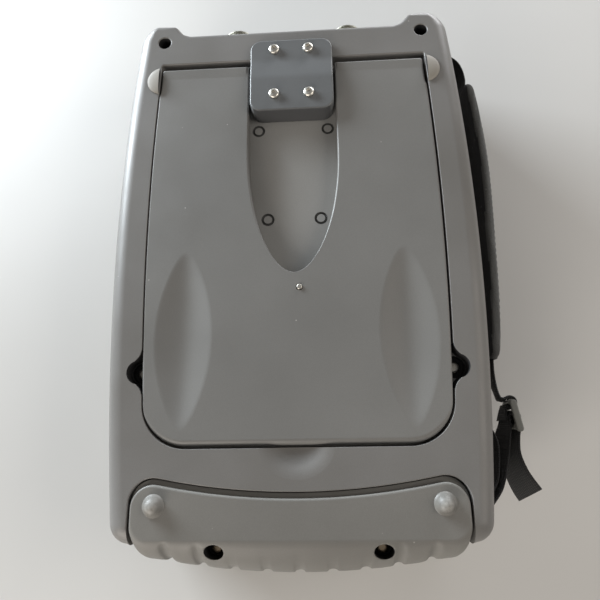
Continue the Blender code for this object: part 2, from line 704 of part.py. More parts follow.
def rounded_back(panel, low, high, radius):
    """Rings of an upright wall that rounds over into a flat back."""
    rings = [at_height(bowed_outline(panel), low)]
    for k in range(EDGE_STEPS + 1):
        angle = math.pi / 2 * k / EDGE_STEPS
        inset = radius * (1 - math.cos(angle))
        rings.append(at_height(bowed_outline(panel, inset), high - radius * (1 - math.sin(angle))))
    return rings


def strap_notch(pin_x, pin_y):
    """Space for a strap loop in the side of the rear shell."""
    return block((pin_x - NOTCH_BEHIND_PIN, CASE_HALF_WIDTH + OVERCUT),
                 (pin_y - NOTCH_HALF_HEIGHT, pin_y + NOTCH_HALF_HEIGHT),
                 (WEB_LOW - WEB_NOTCH_GAP, WEB_HIGH + WEB_NOTCH_GAP))


PIN_LOW = REAR_LOW + SEAT_GAP
PIN_HIGH = WEB_HIGH + WEB_NOTCH_GAP + PIN_SEAT
STRAP_PINS = (("upper", UPPER_PIN_X, UPPER_PIN_Y), ("lower", LOWER_PIN_X, LOWER_PIN_Y))
SIDES = (("left", -1), ("right", 1))
POCKET = STAND._replace(half=STAND.half + STAND_GAP, top=POCKET_TOP, bottom=STAND_BOTTOM - STAND_END_GAP,
                        bottom_corner=STAND_BOTTOM_CORNER + STAND_END_GAP)
BRACKET_SCREWS = [(side * BRACKET_SCREW_X, HINGE_Y + BRACKET_SCREW_UP) for side in (-1, 1)]
BRACKET_SCREWS += [(side * BRACKET_SCREW_X, HINGE_Y - BRACKET_SCREW_DOWN) for side in (-1, 1)]
BRACKET_TOP = CASE_DEPTH + BRACKET_RISE
FLANGE_TOP = CASE_DEPTH + SEAT_GAP + BRACKET_FLANGE
SHANK_HOLE = SCREW_SHANK_RADIUS + SEAT_GAP
PIN_HOLE = PIN_RADIUS + SEAT_GAP
BRACKET_SCREW_END = CEILING + BRACKET_SCREW_COVER

rear = add_piece("rear_shell", loft(rounded_back(CASE, REAR_LOW, CASE_DEPTH, BACK_EDGE_RADIUS)), CASE_GREY)
carve(rear, "cavity", prism(cavity_outline(WALL), REAR_LOW - OVERCUT, CEILING))
carve(rear, "stand_pocket", prism(bowed_outline(POCKET), POCKET_FLOOR, CASE_DEPTH + OVERCUT))
carve(rear, "ear_gap", prism(rectangle(EAR_INNER, PANEL_Y, CASE_TOP + 2 * OVERCUT, EAR_FILLET, CORNER_STEPS),
                             REAR_LOW - OVERCUT, CASE_DEPTH + OVERCUT))
carve(rear, "bumper_pocket", prism(
    bumper_outline(notch=-OVERCUT, inset=0.0, top_gap=BUMPER_TOP_GAP, side_gap=BUMPER_SIDE_GAP),
    BUMPER_SEAT, CASE_DEPTH + OVERCUT))
carve(rear, "bumper_step", prism_along_x([
    (CASE_BOTTOM - OVERCUT, BUMPER_LOW - SEAT_GAP), (BUMPER_STEP_Y, BUMPER_LOW - SEAT_GAP),
    (BUMPER_STEP_Y, BUMPER_LEDGE_Z - SEAT_GAP), (BUMPER_LEDGE_Y, BUMPER_LEDGE_Z - SEAT_GAP),
    (BUMPER_LEDGE_Y, CASE_DEPTH + OVERCUT), (CASE_BOTTOM - OVERCUT, CASE_DEPTH + OVERCUT)],
    BUMPER_HALF_WIDTH + BUMPER_SIDE_GAP))
notch = bmesh.new()
bmesh.ops.create_uvsphere(notch, u_segments=ROUND_STEPS, v_segments=ROUND_STEPS // 2, radius=1.0)
bmesh.ops.scale(notch, verts=notch.verts[:], vec=(NOTCH_HALF_WIDTH, NOTCH_REACH, NOTCH_DEPTH))
bmesh.ops.translate(notch, verts=notch.verts[:], vec=(0.0, STAND_BOTTOM, CASE_DEPTH))
carve(rear, "finger_notch", notch)
wells, holes, port_holes = [], [], []
for label, side in SIDES:
    wells.append(screw_well(EAR_WELL_RADIUS, CASE_DEPTH - EAR_WELL_DEPTH, SHANK_HOLE, REAR_LOW - OVERCUT,
                            side * EAR_SCREW_X, EAR_SCREW_Y))
    wells.append(screw_well(SIDE_WELL_RADIUS, CASE_DEPTH - SIDE_WELL_DEPTH, SHANK_HOLE, REAR_LOW - OVERCUT,
                            side * SIDE_SCREW_X, SIDE_SCREW_Y))
    holes.append(cylinder(SHANK_HOLE, BUMPER_SCREW_END - SEAT_GAP, CASE_DEPTH, side * BUMPER_SCREW_X,
                          BUMPER_SCREW_Y, FINE_STEPS))
    port_holes.append(along_y(cylinder(PORT_BODY_RADIUS + SEAT_GAP, CAVITY_TOP - OVERCUT, CASE_TOP + OVERCUT),
                              side * PORT_X, PORT_Z))
for x, y in BRACKET_SCREWS:
    holes.append(cylinder(SHANK_HOLE, BRACKET_SCREW_END - SEAT_GAP, CASE_DEPTH + OVERCUT, x, y, FINE_STEPS))
carve(rear, "wells", joined(wells))
carve(rear, "port_holes", joined(port_holes))
carve(rear, "strap_notches", joined([strap_notch(x, y) for label, x, y in STRAP_PINS]))
for label, x, y in STRAP_PINS:
    holes.append(cylinder(PIN_HOLE, REAR_LOW - OVERCUT, PIN_HIGH + SEAT_GAP, x, y, FINE_STEPS))
carve(rear, "holes", joined(holes))

# Seal between the shells
seal_low = PARTING_Z - SEAL_THICKNESS / 2
seal_outer = bowed_outline(CASE, SEAL_INSET)
seal_inner = bowed_outline(CASE, SEAL_INSET + SEAL_WIDTH)
add_piece("case_seal", ring_prism(seal_outer, seal_inner, seal_low, seal_low + SEAL_THICKNESS), SEAL_BLACK)


# Doors on the side away from the strap, each hinged on small pins along its upper edge
def wall_place(low_y, length):
    """Middle of a stretch of the left wall and the turn that points local X straight out of it."""
    low = Vector((-side_x(CASE, low_y), low_y))
    high = Vector((-side_x(CASE, low_y + length), low_y + length))
    along = (high - low).normalized()
    return (low + high) / 2, math.atan2(along.x, -along.y)


def door_section(gap):
    """Section of a door in its own frame: flat slab hanging from a round upper edge."""
    half = DOOR_THICKNESS / 2
    section = [(-DOOR_THICKNESS - gap, -DOOR_HEIGHT - gap), (gap, -DOOR_HEIGHT - gap)]
    return section + arc(-half, 0.0, half + gap, 0, 180)


def in_wall(bm, middle, turn):
    """Move a shape from a door's own frame to its place in the wall."""
    place = Matrix.Translation((middle.x, middle.y, DOOR_AXIS_Z)) @ Matrix.Rotation(turn, 4, "Z")
    bmesh.ops.transform(bm, verts=bm.verts[:], matrix=place)
    return bm


def door_slab(section, half_length):
    """Solid of a door section, as long both ways along the wall."""
    return loft([[(x, -half_length, z) for x, z in section], [(x, half_length, z) for x, z in section]])


def pin_bar(radius, half_length):
    """The hinge pins of a door, as one bar along its upper edge."""
    bm = cylinder(radius, -half_length, half_length)
    bmesh.ops.transform(bm, verts=bm.verts[:], matrix=Matrix.Translation(
        (-DOOR_THICKNESS / 2, 0.0, 0.0)) @ Matrix.Rotation(math.pi / 2, 4, "X"))
    return bm


def side_door(name, low_y, length):
    """One door with its recess, its way through the wall and its hinge pins."""
    middle, turn = wall_place(low_y, length)
    half = length / 2
    recess = door_slab(door_section(DOOR_GAP), half + DOOR_GAP)
    outward = [vertex for vertex in recess.verts if vertex.co.x > -DOOR_THICKNESS / 2]
    bmesh.ops.translate(recess, verts=outward, vec=(OVERCUT, 0.0, 0.0))
    carve(rear, f"{name}_recess", in_wall(recess, middle, turn))
    way_top = CEILING - SEAT_GAP - DOOR_AXIS_Z
    way = block((-OVERCUT, 0.0), (DOOR_LIP - half, half - DOOR_LIP), (DOOR_LIP - DOOR_HEIGHT, way_top))
    carve(rear, f"{name}_way", in_wall(way, middle, turn))
    pin_end = half + DOOR_PIN_LENGTH
    pin_holes = pin_bar(DOOR_PIN_RADIUS + SEAT_GAP, pin_end + SEAT_GAP)
    carve(rear, f"{name}_pin_holes", in_wall(pin_holes, middle, turn))
    axis = (middle.x - math.cos(turn) * DOOR_THICKNESS / 2, middle.y - math.sin(turn) * DOOR_THICKNESS / 2)
    door = add_piece(name, in_wall(door_slab(door_section(0.0), half), middle, turn), CASE_GREY,
                     (*axis, DOOR_AXIS_Z), turn)
    carve(door, "pins", in_wall(pin_bar(DOOR_PIN_RADIUS, pin_end), middle, turn), "UNION")


side_door("battery_door", BATTERY_DOOR_LOW, BATTERY_DOOR_LENGTH)
side_door("connector_door", CONNECTOR_DOOR_LOW, CONNECTOR_DOOR_LENGTH)

# Stand, with its round upper edge about the hinge rod
stand_rings = []
for k in range(2 * EDGE_STEPS + 1):
    angle = math.pi / 2 * (k / EDGE_STEPS - 1)
    height = STAND_THICKNESS / 2 * math.sin(angle)
    edge = max(0.0, height - (STAND_THICKNESS / 2 - STAND_EDGE_RADIUS))
    inset = STAND_EDGE_RADIUS - math.sqrt(max(0.0, STAND_EDGE_RADIUS ** 2 - edge ** 2))
    round_top = STAND._replace(top=HINGE_Y + inset + STAND_THICKNESS / 2 * math.cos(angle))
    stand_rings.append(at_height(bowed_outline(round_top, inset), HINGE_Z + height))
HINGE = (0.0, HINGE_Y, HINGE_Z)
stand = add_piece("stand_plate", loft(stand_rings), STAND_GREY, HINGE)
arch = arc(0.0, 0.0, 1.0, 180, 360, 2 * ROUND_STEPS)
arch = [(x * ARCH_HALF_WIDTH, HINGE_Y - ARCH_STRAIGHT + y * ARCH_ROUND) for x, y in arch]
arch += [(ARCH_HALF_WIDTH, HINGE_Y + OVERCUT), (-ARCH_HALF_WIDTH, HINGE_Y + OVERCUT)]
carve(stand, "arch", prism(arch, HINGE_Z - OVERCUT, HINGE_Z + OVERCUT))
ROD_HALF_LENGTH = side_x(STAND, HINGE_Y) - ROD_END_COVER
carve(stand, "rod_bore", along_x(cylinder(ROD_RADIUS + RUN_GAP, -ROD_HALF_LENGTH - SEAT_GAP,
                                          ROD_HALF_LENGTH + SEAT_GAP), HINGE_Y, HINGE_Z))
GRIP_Y = STAND_BOTTOM + GRIP_FROM_BOTTOM + GRIP_LENGTH / 2
STAND_FACE = HINGE_Z + STAND_THICKNESS / 2
for label, side in SIDES:
    spindle = []
    for k in range(ROUND_STEPS + 1):
        along = -1 + 2 * k / ROUND_STEPS
        spindle.append((GRIP_HALF_WIDTH * (1 - along ** 2), along * GRIP_LENGTH / 2))
    grip = turned(spindle, ROUND_STEPS)
    bmesh.ops.transform(grip, verts=grip.verts[:], matrix=Matrix.Rotation(math.pi / 2, 4, "X"))
    bmesh.ops.scale(grip, verts=grip.verts[:], vec=(1.0, 1.0, GRIP_DEPTH / GRIP_HALF_WIDTH))
    bmesh.ops.translate(grip, verts=grip.verts[:], vec=(side * GRIP_X, GRIP_Y, STAND_FACE))
    carve(stand, f"grip_{label}", grip)
STUD_Y = ARCH_TIP - STUD_BELOW_ARCH
carve(stand, "stud_hole", cylinder(STUD_RADIUS + SEAT_GAP, STAND_FACE - STUD_DEPTH - SEAT_GAP,
                                   STAND_FACE + OVERCUT, STUD_X, STUD_Y))
stud = cylinder(STUD_RADIUS, STAND_FACE - STUD_DEPTH, STAND_FACE + STUD_PROUD, STUD_X, STUD_Y)
add_piece("catch_stud", stud, SCREW_STEEL, HINGE)
add_piece("hinge_rod", along_x(cylinder(ROD_RADIUS, -ROD_HALF_LENGTH, ROD_HALF_LENGTH), HINGE_Y, HINGE_Z),
          SCREW_STEEL, HINGE)

# Bracket that clamps the hinge rod to the back
bracket_top_y = HINGE_Y + BRACKET_ABOVE_HINGE
bracket_low_y = HINGE_Y - BRACKET_BELOW_HINGE
bracket = add_piece("hinge_bracket", prism(
    rectangle(BRACKET_HALF_WIDTH, bracket_low_y, bracket_top_y, BRACKET_CORNER, CORNER_STEPS),
    POCKET_FLOOR + SEAT_GAP, BRACKET_TOP), BRACKET_GREY)
carve(bracket, "flange_seat", block((-CASE_HALF_WIDTH, CASE_HALF_WIDTH), (POCKET_TOP - SEAT_GAP, CASE_TOP),
                                    (CEILING, CASE_DEPTH + SEAT_GAP)))
slope_y = POCKET_TOP - BRACKET_FLANGE_IN
carve(bracket, "flange_slope", prism_along_x([
    (slope_y - BRACKET_SLOPE, BRACKET_TOP), (slope_y, FLANGE_TOP), (CASE_TOP, FLANGE_TOP),
    (CASE_TOP, BRACKET_TOP + OVERCUT), (slope_y - BRACKET_SLOPE, BRACKET_TOP + OVERCUT)], CASE_HALF_WIDTH))
carve(bracket, "rod_bore", along_x(cylinder(ROD_RADIUS + RUN_GAP, -CASE_HALF_WIDTH, CASE_HALF_WIDTH),
                                   HINGE_Y, HINGE_Z))
carve(bracket, "holes", joined([cylinder(SHANK_HOLE, CEILING, BRACKET_TOP + OVERCUT, x, y, FINE_STEPS)
                                for x, y in BRACKET_SCREWS]))


# Screws
def screw(name, x, y, seat, end):
    """Pan-head screw, head down on its seat."""
    low = seat + SEAT_GAP
    high = low + SCREW_HEAD_HEIGHT
    head = [(SCREW_HEAD_RADIUS, low), (SCREW_HEAD_RADIUS, high - SCREW_HEAD_ROUND),
            (SCREW_HEAD_RADIUS - SCREW_HEAD_ROUND, high)]
    shank = [(0.0, end), (SCREW_SHANK_RADIUS, end), (SCREW_SHANK_RADIUS, low)]
    add_piece(name, turned([*shank, *head, (0.0, high)], FINE_STEPS, x, y), SCREW_STEEL)


for k, (x, y) in enumerate(BRACKET_SCREWS):
    screw(f"bracket_screw_{k + 1}", x, y, FLANGE_TOP if y > HINGE_Y else BRACKET_TOP, BRACKET_SCREW_END)
FRONT_SCREW_END = FRONT_HIGH - SCREW_GRIP
for label, side in SIDES:
    ear_seat = CASE_DEPTH - EAR_WELL_DEPTH
    side_seat = CASE_DEPTH - SIDE_WELL_DEPTH
    screw(f"ear_screw_{label}", side * EAR_SCREW_X, EAR_SCREW_Y, ear_seat, FRONT_SCREW_END)
    screw(f"side_screw_{label}", side * SIDE_SCREW_X, SIDE_SCREW_Y, side_seat, FRONT_SCREW_END)
    screw(f"bumper_screw_{label}", side * BUMPER_SCREW_X, BUMPER_SCREW_Y, BUMPER_WELL_FLOOR, BUMPER_SCREW_END)

# Half-moon feet, flat on the side that faces the stand
foot_x = side_x(POCKET, HINGE_Y - FOOT_BELOW_HINGE) + SEAT_GAP
for label, side in SIDES:
    foot = bmesh.new()
    bmesh.ops.create_uvsphere(foot, u_segments=ROUND_STEPS, v_segments=ROUND_STEPS // 2, radius=1.0)
    bmesh.ops.scale(foot, verts=foot.verts[:], vec=(FOOT_RADIUS, FOOT_RADIUS, FOOT_HEIGHT))
    centre = Vector((side * (foot_x - FOOT_CENTRE_IN), HINGE_Y - FOOT_BELOW_HINGE, CASE_DEPTH + SEAT_GAP))
    bmesh.ops.translate(foot, verts=foot.verts[:], vec=centre)
    for point, normal in ((centre, (0, 0, -1)), ((side * foot_x, 0, 0), (-side, 0, 0))):
        cut = bmesh.ops.bisect_plane(foot, geom=foot.verts[:] + foot.edges[:] + foot.faces[:], dist=1e-6,
                                     plane_co=point, plane_no=normal, clear_outer=True)
        rim = [edge for edge in cut["geom_cut"] if isinstance(edge, bmesh.types.BMEdge)]
        bmesh.ops.contextual_create(foot, geom=rim)
    add_piece(f"upper_foot_{label}", foot, FOOT_RUBBER)

# Bumper over the lower end
bumper_high = CASE_DEPTH + BUMPER_PROUD
SLOPE_STEPS = 5
SLOPE_TURN = math.radians(70)
bumper_rings = [at_height(bumper_outline(0.0, SCALLOP_DEPTH), BUMPER_LOW)]
for k in range(SLOPE_STEPS + 1):
    angle = SLOPE_TURN * k / SLOPE_STEPS
    slope = (1 - math.cos(angle)) / (1 - math.cos(SLOPE_TURN))
    height = bumper_high - BUMPER_SLOPE_HEIGHT * (1 - math.sin(angle) / math.sin(SLOPE_TURN))
    edge = max(0.0, height - (bumper_high - STAND_EDGE_RADIUS))
    inset = STAND_EDGE_RADIUS - math.sqrt(max(0.0, STAND_EDGE_RADIUS ** 2 - edge ** 2))
    bumper_rings.append(at_height(bumper_outline(slope, SCALLOP_DEPTH * (1 - slope), inset / 2), height))
bumper = add_piece("bottom_bumper", loft(bumper_rings), BUMPER_GREY)
carve(bumper, "case_end", prism_along_x([
    (BUMPER_STEP_Y - SEAT_GAP, REAR_LOW), (BUMPER_STEP_Y - SEAT_GAP, BUMPER_LEDGE_Z),
    (BUMPER_LEDGE_Y - SEAT_GAP, BUMPER_LEDGE_Z), (BUMPER_LEDGE_Y - SEAT_GAP, BUMPER_SEAT + SEAT_GAP),
    (0.0, BUMPER_SEAT + SEAT_GAP), (0.0, REAR_LOW)], CASE_HALF_WIDTH))
dome_y = BUMPER_APEX - DOME_FROM_APEX
dome_root = bumper_high - BUMPER_PLATE / 2
dome = [(0.0, dome_root), (DOME_RADIUS, dome_root)]
dome += [(DOME_RADIUS * x, bumper_high + DOME_HEIGHT * y) for x, y in arc(0.0, 0.0, 1.0, 0, 90)[:-1]]
dome.append((0.0, bumper_high + DOME_HEIGHT))
domes = [turned(dome, ROUND_STEPS, side * DOME_X, dome_y) for side in (-1, 1)]
carve(bumper, "domes", joined(domes), "UNION")
carve(bumper, "wells", joined([screw_well(BUMPER_WELL_RADIUS, BUMPER_WELL_FLOOR, SHANK_HOLE, REAR_LOW,
                                          side * BUMPER_SCREW_X, BUMPER_SCREW_Y) for side in (-1, 1)]))

# Connector plate and coaxial ports at the top end
plate_high = CASE_DEPTH - PLATE_BELOW_BACK
plate = add_piece("connector_plate", block(
    (-PLATE_HALF_WIDTH, PLATE_HALF_WIDTH), (PLATE_Y, PLATE_Y + PLATE_THICKNESS),
    (plate_high - PLATE_HEIGHT, plate_high)), PLATE_METAL)
plate_holes = []
mouth = PORT_END - PORT_MOUTH_DEPTH
pin_end = PORT_END - PORT_PIN_RECESS
flange_end = PORT_Y + PORT_FLANGE_THICKNESS
for label, side in SIDES:
    plate_holes.append(along_y(cylinder(PORT_BODY_RADIUS + SEAT_GAP, PANEL_Y - OVERCUT, PANEL_Y + OVERCUT),
                               side * PORT_X, PORT_Z))
    port = turned([
        (0.0, PORT_TAIL_Y), (PORT_BODY_RADIUS, PORT_TAIL_Y), (PORT_BODY_RADIUS, PORT_Y),
        (PORT_FLANGE_RADIUS, PORT_Y), (PORT_FLANGE_RADIUS, flange_end), (PORT_BARREL_RADIUS, flange_end),
        (PORT_BARREL_RADIUS, PORT_END), (PORT_BORE_RADIUS, PORT_END), (PORT_BORE_RADIUS, mouth),
        (PORT_PIN_RADIUS, mouth), (PORT_PIN_RADIUS, pin_end), (0.0, pin_end)])
    add_piece(f"rf_port_{label}", along_y(port, side * PORT_X, PORT_Z), PORT_METAL)
carve(plate, "port_holes", joined(plate_holes))

# Front shell, with a raised rim round the face
front_rings = []
for k in range(EDGE_STEPS + 1):
    angle = math.pi / 2 * k / EDGE_STEPS
    inset = FRONT_EDGE_RADIUS * (1 - math.sin(angle))
    front_rings.append(at_height(bowed_outline(CASE, inset), FRONT_EDGE_RADIUS * (1 - math.cos(angle))))
front_rings.append(at_height(bowed_outline(CASE), FRONT_HIGH))
front = add_piece("front_shell", loft(front_rings), CASE_GREY)
FACE_INSET = FRONT_EDGE_RADIUS + RIM_WIDTH
carve(front, "face", prism(bowed_outline(CASE, FACE_INSET), -OVERCUT, FACE_RECESS))
carve(front, "cavity", prism(cavity_outline(WALL + BOARD_LEDGE), FACE_BLOCK_INNER, FRONT_HIGH + OVERCUT))
carve(front, "board_seat", prism(cavity_outline(WALL), BOARD_LEDGE_Z, FRONT_HIGH + OVERCUT))
carve(front, "window_seat", prism(
    rectangle(DISPLAY_HALF_WIDTH + WINDOW_LIP, DISPLAY_BOTTOM - WINDOW_LIP, DISPLAY_TOP + WINDOW_LIP),
    -OVERCUT, FACE_RECESS + WINDOW_THICKNESS + SEAT_GAP))
window_opening = rectangle(DISPLAY_HALF_WIDTH, DISPLAY_BOTTOM, DISPLAY_TOP)
carve(front, "window", prism(window_opening, -OVERCUT, FACE_BLOCK_INNER))
carve(front, "module_seat", prism(
    rectangle(DISPLAY_HALF_WIDTH + MODULE_LIP, DISPLAY_BOTTOM - MODULE_LIP, DISPLAY_TOP + MODULE_LIP),
    FACE_INNER, FACE_BLOCK_INNER + OVERCUT / 4))

# Keys: a chamfered cap in a hole, with a flange behind the face
KEY_LAYOUT = []
for k in range(SOFTKEY_COUNT):
    x = -(FIRST_KEY_X + k * KEY_PITCH_X)
    KEY_LAYOUT.append((f"softkey_{k + 1}", x, SOFTKEY_Y, KEY_WIDTH, SOFTKEY_HEIGHT, KEY_GREY))
for row, names in enumerate(DIGIT_ROWS):
    for column, digit in enumerate(names):
        KEY_LAYOUT.append((f"key_{digit}", FIRST_KEY_X + (2 - column) * KEY_PITCH_X,
                           FIRST_DIGIT_Y - row * KEY_PITCH_Y, KEY_WIDTH, KEY_HEIGHT, KEY_GREY))
KEY_LAYOUT.append(("power_key", POWER_X, POWER_Y, KEY_HEIGHT, KEY_HEIGHT, POWER_GREEN))


def key_outline(x, y, width, height, grow):
    """Clipped rectangle of a key, grown or drawn in."""
    corner = KEY_CORNER + grow
    return shifted(rectangle(width / 2 + grow, -height / 2 - grow, height / 2 + grow, corner), x, y)


field_half = -FIRST_KEY_X + KEY_WIDTH / 2 + KEY_FLANGE + KEY_FIELD_MARGIN
field_top = SOFTKEY_Y + SOFTKEY_HEIGHT / 2 + KEY_FLANGE + KEY_FIELD_MARGIN
field_low = POWER_Y - KEY_HEIGHT / 2 - KEY_FLANGE - KEY_FIELD_MARGIN
field_split = SOFTKEY_Y - SOFTKEY_HEIGHT / 2 - KEY_FLANGE - KEY_FIELD_MARGIN
field_digit_x = FIRST_KEY_X + 2 * KEY_PITCH_X + KEY_WIDTH / 2 + KEY_FLANGE + KEY_FIELD_MARGIN
field_power_x = POWER_X + KEY_HEIGHT / 2 + KEY_FLANGE + KEY_FIELD_MARGIN
field_power_y = POWER_Y + KEY_HEIGHT / 2 + KEY_FLANGE + KEY_FIELD_MARGIN


def field_outline(grow):
    """Key field: softkey row, digit block and power key, clear of the knob."""
    return [(-field_half - grow, field_low - grow), (field_power_x + grow, field_low - grow),
            (field_power_x + grow, field_power_y + grow), (field_digit_x + grow, field_power_y + grow),
            (field_digit_x + grow, field_split - grow), (field_half + grow, field_split - grow),
            (field_half + grow, field_top + grow), (-field_half - grow, field_top + grow)]


carve(front, "key_field", prism(field_outline(SEAT_GAP), FACE_INNER, FACE_BLOCK_INNER + OVERCUT / 4))
front_holes = []
for name, x, y, width, height, colour in KEY_LAYOUT:
    front_holes.append(prism(key_outline(x, y, width, height, RUN_GAP), -OVERCUT, FACE_BLOCK_INNER))
    cap = [(KEY_FACE, -KEY_CHAMFER), (KEY_FACE + KEY_CHAMFER, 0.0), (FACE_INNER + SEAT_GAP, 0.0),
           (FACE_INNER + SEAT_GAP, KEY_FLANGE), (KEY_FLANGE_TOP, KEY_FLANGE)]
    rings = [at_height(key_outline(x, y, width, height, grow), z) for z, grow in cap]
    add_piece(name, loft(rings), colour, (x, y, KEY_FACE))
for label, side in SIDES:
    for x, y in ((EAR_SCREW_X, EAR_SCREW_Y), (SIDE_SCREW_X, SIDE_SCREW_Y)):
        front_holes.append(cylinder(SHANK_HOLE, FRONT_SCREW_END - SEAT_GAP, FRONT_HIGH + OVERCUT, side * x, y,
                                    FINE_STEPS))
carve(front, "holes", joined(front_holes))
carve(front, "knob_boss", cylinder(KNOB_BOSS_RADIUS, FACE_INNER, KNOB_BOSS_TOP, KNOB_X, KNOB_Y,
                                   2 * ROUND_STEPS), "UNION")
STEM_HOLE = KNOB_STEM_RADIUS + RUN_GAP
carve(front, "knob_dish", turned([
    (0.0, -OVERCUT), (KNOB_DISH_RADIUS, -OVERCUT), (KNOB_DISH_RADIUS, KNOB_DISH_FLOOR),
    (STEM_HOLE, KNOB_DISH_FLOOR), (STEM_HOLE, KNOB_BOSS_TOP + OVERCUT), (0.0, KNOB_BOSS_TOP + OVERCUT)],
    2 * ROUND_STEPS, KNOB_X, KNOB_Y))

# Display, key mat and key board
window = rectangle(DISPLAY_HALF_WIDTH + WINDOW_LIP - SEAT_GAP, DISPLAY_BOTTOM - WINDOW_LIP + SEAT_GAP,
                   DISPLAY_TOP + WINDOW_LIP - SEAT_GAP)
add_piece("display_window", prism(window, FACE_RECESS, FACE_RECESS + WINDOW_THICKNESS), WINDOW_GLASS)
module = rectangle(DISPLAY_HALF_WIDTH + MODULE_LIP - SEAT_GAP, DISPLAY_BOTTOM - MODULE_LIP + SEAT_GAP,
                   DISPLAY_TOP + MODULE_LIP - SEAT_GAP)
module_low = FACE_INNER + SEAT_GAP
add_piece("display_module", prism(module, module_low, module_low + MODULE_THICKNESS), MODULE_BLACK)
add_piece("keypad_mat", prism(field_outline(0.0), MAT_Z, MAT_Z + MAT_THICKNESS), MAT_RUBBER)
add_piece("keypad_board", prism(field_outline(KEY_FIELD_MARGIN), KEY_BOARD_Z, KEY_BOARD_Z + BOARD_THICKNESS),
          BOARD_GREEN)

# Tuning knob and encoder
knob_low = KNOB_DISH_FLOOR - SEAT_GAP - KNOB_HEIGHT
knob_high = KNOB_DISH_FLOOR - SEAT_GAP
stem_end = knob_high + KNOB_STEM_LENGTH
knob = turned([(0.0, knob_low), (KNOB_GRIP_RADIUS, knob_low), (KNOB_RADIUS, knob_low + KNOB_BEVEL),
               (KNOB_RADIUS, knob_high), (KNOB_STEM_RADIUS, knob_high), (KNOB_STEM_RADIUS, stem_end),
               (0.0, stem_end)], 2 * ROUND_STEPS, KNOB_X, KNOB_Y)
add_piece("tuning_knob", knob, KNOB_BLACK, (KNOB_X, KNOB_Y, 0.0))
encoder_low = KNOB_BOSS_TOP + SEAT_GAP
encoder_plan = shifted(rectangle(ENCODER_HALF_WIDTH, -ENCODER_HALF_WIDTH, ENCODER_HALF_WIDTH), KNOB_X, KNOB_Y)
encoder = add_piece("encoder", prism(encoder_plan, encoder_low, encoder_low + ENCODER_HEIGHT), MODULE_BLACK)
carve(encoder, "stem_bore", cylinder(KNOB_STEM_RADIUS + RUN_GAP, encoder_low - OVERCUT,
                                     stem_end + RUN_GAP, KNOB_X, KNOB_Y))

# Boards and modules inside
board_half = side_x(CASE, CAVITY_TOP - CORNER_BLOCK_LENGTH) - WALL - MAIN_BOARD_MARGIN
board_top = CAVITY_TOP - CORNER_BLOCK_LENGTH - MAIN_BOARD_MARGIN
board_high = MAIN_BOARD_Z + BOARD_THICKNESS
add_piece("main_board", block((-board_half, board_half), (MAIN_BOARD_BOTTOM, board_top),
                              (MAIN_BOARD_Z, board_high)), BOARD_GREEN)
module_top = PORT_TAIL_Y - SEAT_GAP
add_piece("rf_module", block(
    (-RF_MODULE_HALF_WIDTH, RF_MODULE_HALF_WIDTH), (module_top - RF_MODULE_LENGTH, module_top),
    (board_high + SEAT_GAP, CEILING - SEAT_GAP)), SHIELD_METAL)
battery_low = BATTERY_DOOR_LOW + BATTERY_END_GAP
battery_high = BATTERY_DOOR_LOW + BATTERY_DOOR_LENGTH - BATTERY_END_GAP
battery_x = -side_x(CASE, battery_low) + WALL
battery_top = CEILING - 2 * SEAT_GAP
add_piece("battery_pack", block((battery_x, battery_x + BATTERY_REACH), (battery_low, battery_high),
                                (battery_top - BATTERY_THICKNESS, battery_top)), BATTERY_BLACK)
ports_low = CONNECTOR_DOOR_LOW + DOOR_LIP
ports_high = CONNECTOR_DOOR_LOW + CONNECTOR_DOOR_LENGTH - DOOR_LIP
ports_x = -side_x(CASE, ports_high) + WALL + SEAT_GAP
ports_top = CEILING - SEAT_GAP
ports = add_piece("port_block", block((ports_x, ports_x + PORT_BLOCK_DEPTH), (ports_low, ports_high),
                                      (ports_top - PORT_BLOCK_HEIGHT, ports_top)), MODULE_BLACK)
socket_y = ports_low + SOCKET_SPACING
socket_z = ports_top - PORT_BLOCK_HEIGHT / 2
for k, (width, height) in enumerate(SOCKET_SIZES):
    carve(ports, f"socket_{k + 1}", block(
        (ports_x - OVERCUT, ports_x + SOCKET_DEPTH), (socket_y, socket_y + width),
        (socket_z - height / 2, socket_z + height / 2)))
    socket_y += width + SOCKET_SPACING

# Hand strap
for label, x, y in STRAP_PINS:
    add_piece(f"strap_pin_{label}", cylinder(PIN_RADIUS, PIN_LOW, PIN_HIGH, x, y), SCREW_STEEL)
PAD_TOP = UPPER_PIN_Y - PAD_FROM_PIN
PAD_BOTTOM = PAD_TOP - PAD_LENGTH
PAD_STEPS = 8
WEB_STEPS = 2
SLEEVE_STEPS = 16


def pad_point(share):
    """A place along the padded run, which closes on the case towards its lower end."""
    y = PAD_TOP - PAD_LENGTH * share
    return Vector((side_x(CASE, y) + PAD_OUT_TOP + (PAD_OUT_BOTTOM - PAD_OUT_TOP) * share, y))


def sleeve_ring(path, k):
    """Section of the padded sleeve: crowned, drawn in along its sides and thinner at its sewn ends."""
    share = k / (len(path) - 1)
    end = min(share, 1 - share) * PAD_LENGTH
    thickness = PAD_END_THICKNESS + (PAD_THICKNESS - PAD_END_THICKNESS) * min(1.0, end / PAD_END_TAPER)
    half = PAD_WIDTH / 2 - PAD_DRAW_IN * 4 * share * (1 - share)
    ring = []
    for cosine, sine in arc(0.0, 0.0, 1.0, 0, 360, SLEEVE_STEPS)[:-1]:
        swell = math.copysign(abs(cosine) ** PAD_FULLNESS, cosine)
        place = path[k] + across_path(path, k) * swell * thickness / 2
        ring.append((place.x, place.y, WEB_MIDDLE_Z + half * sine))
    return ring


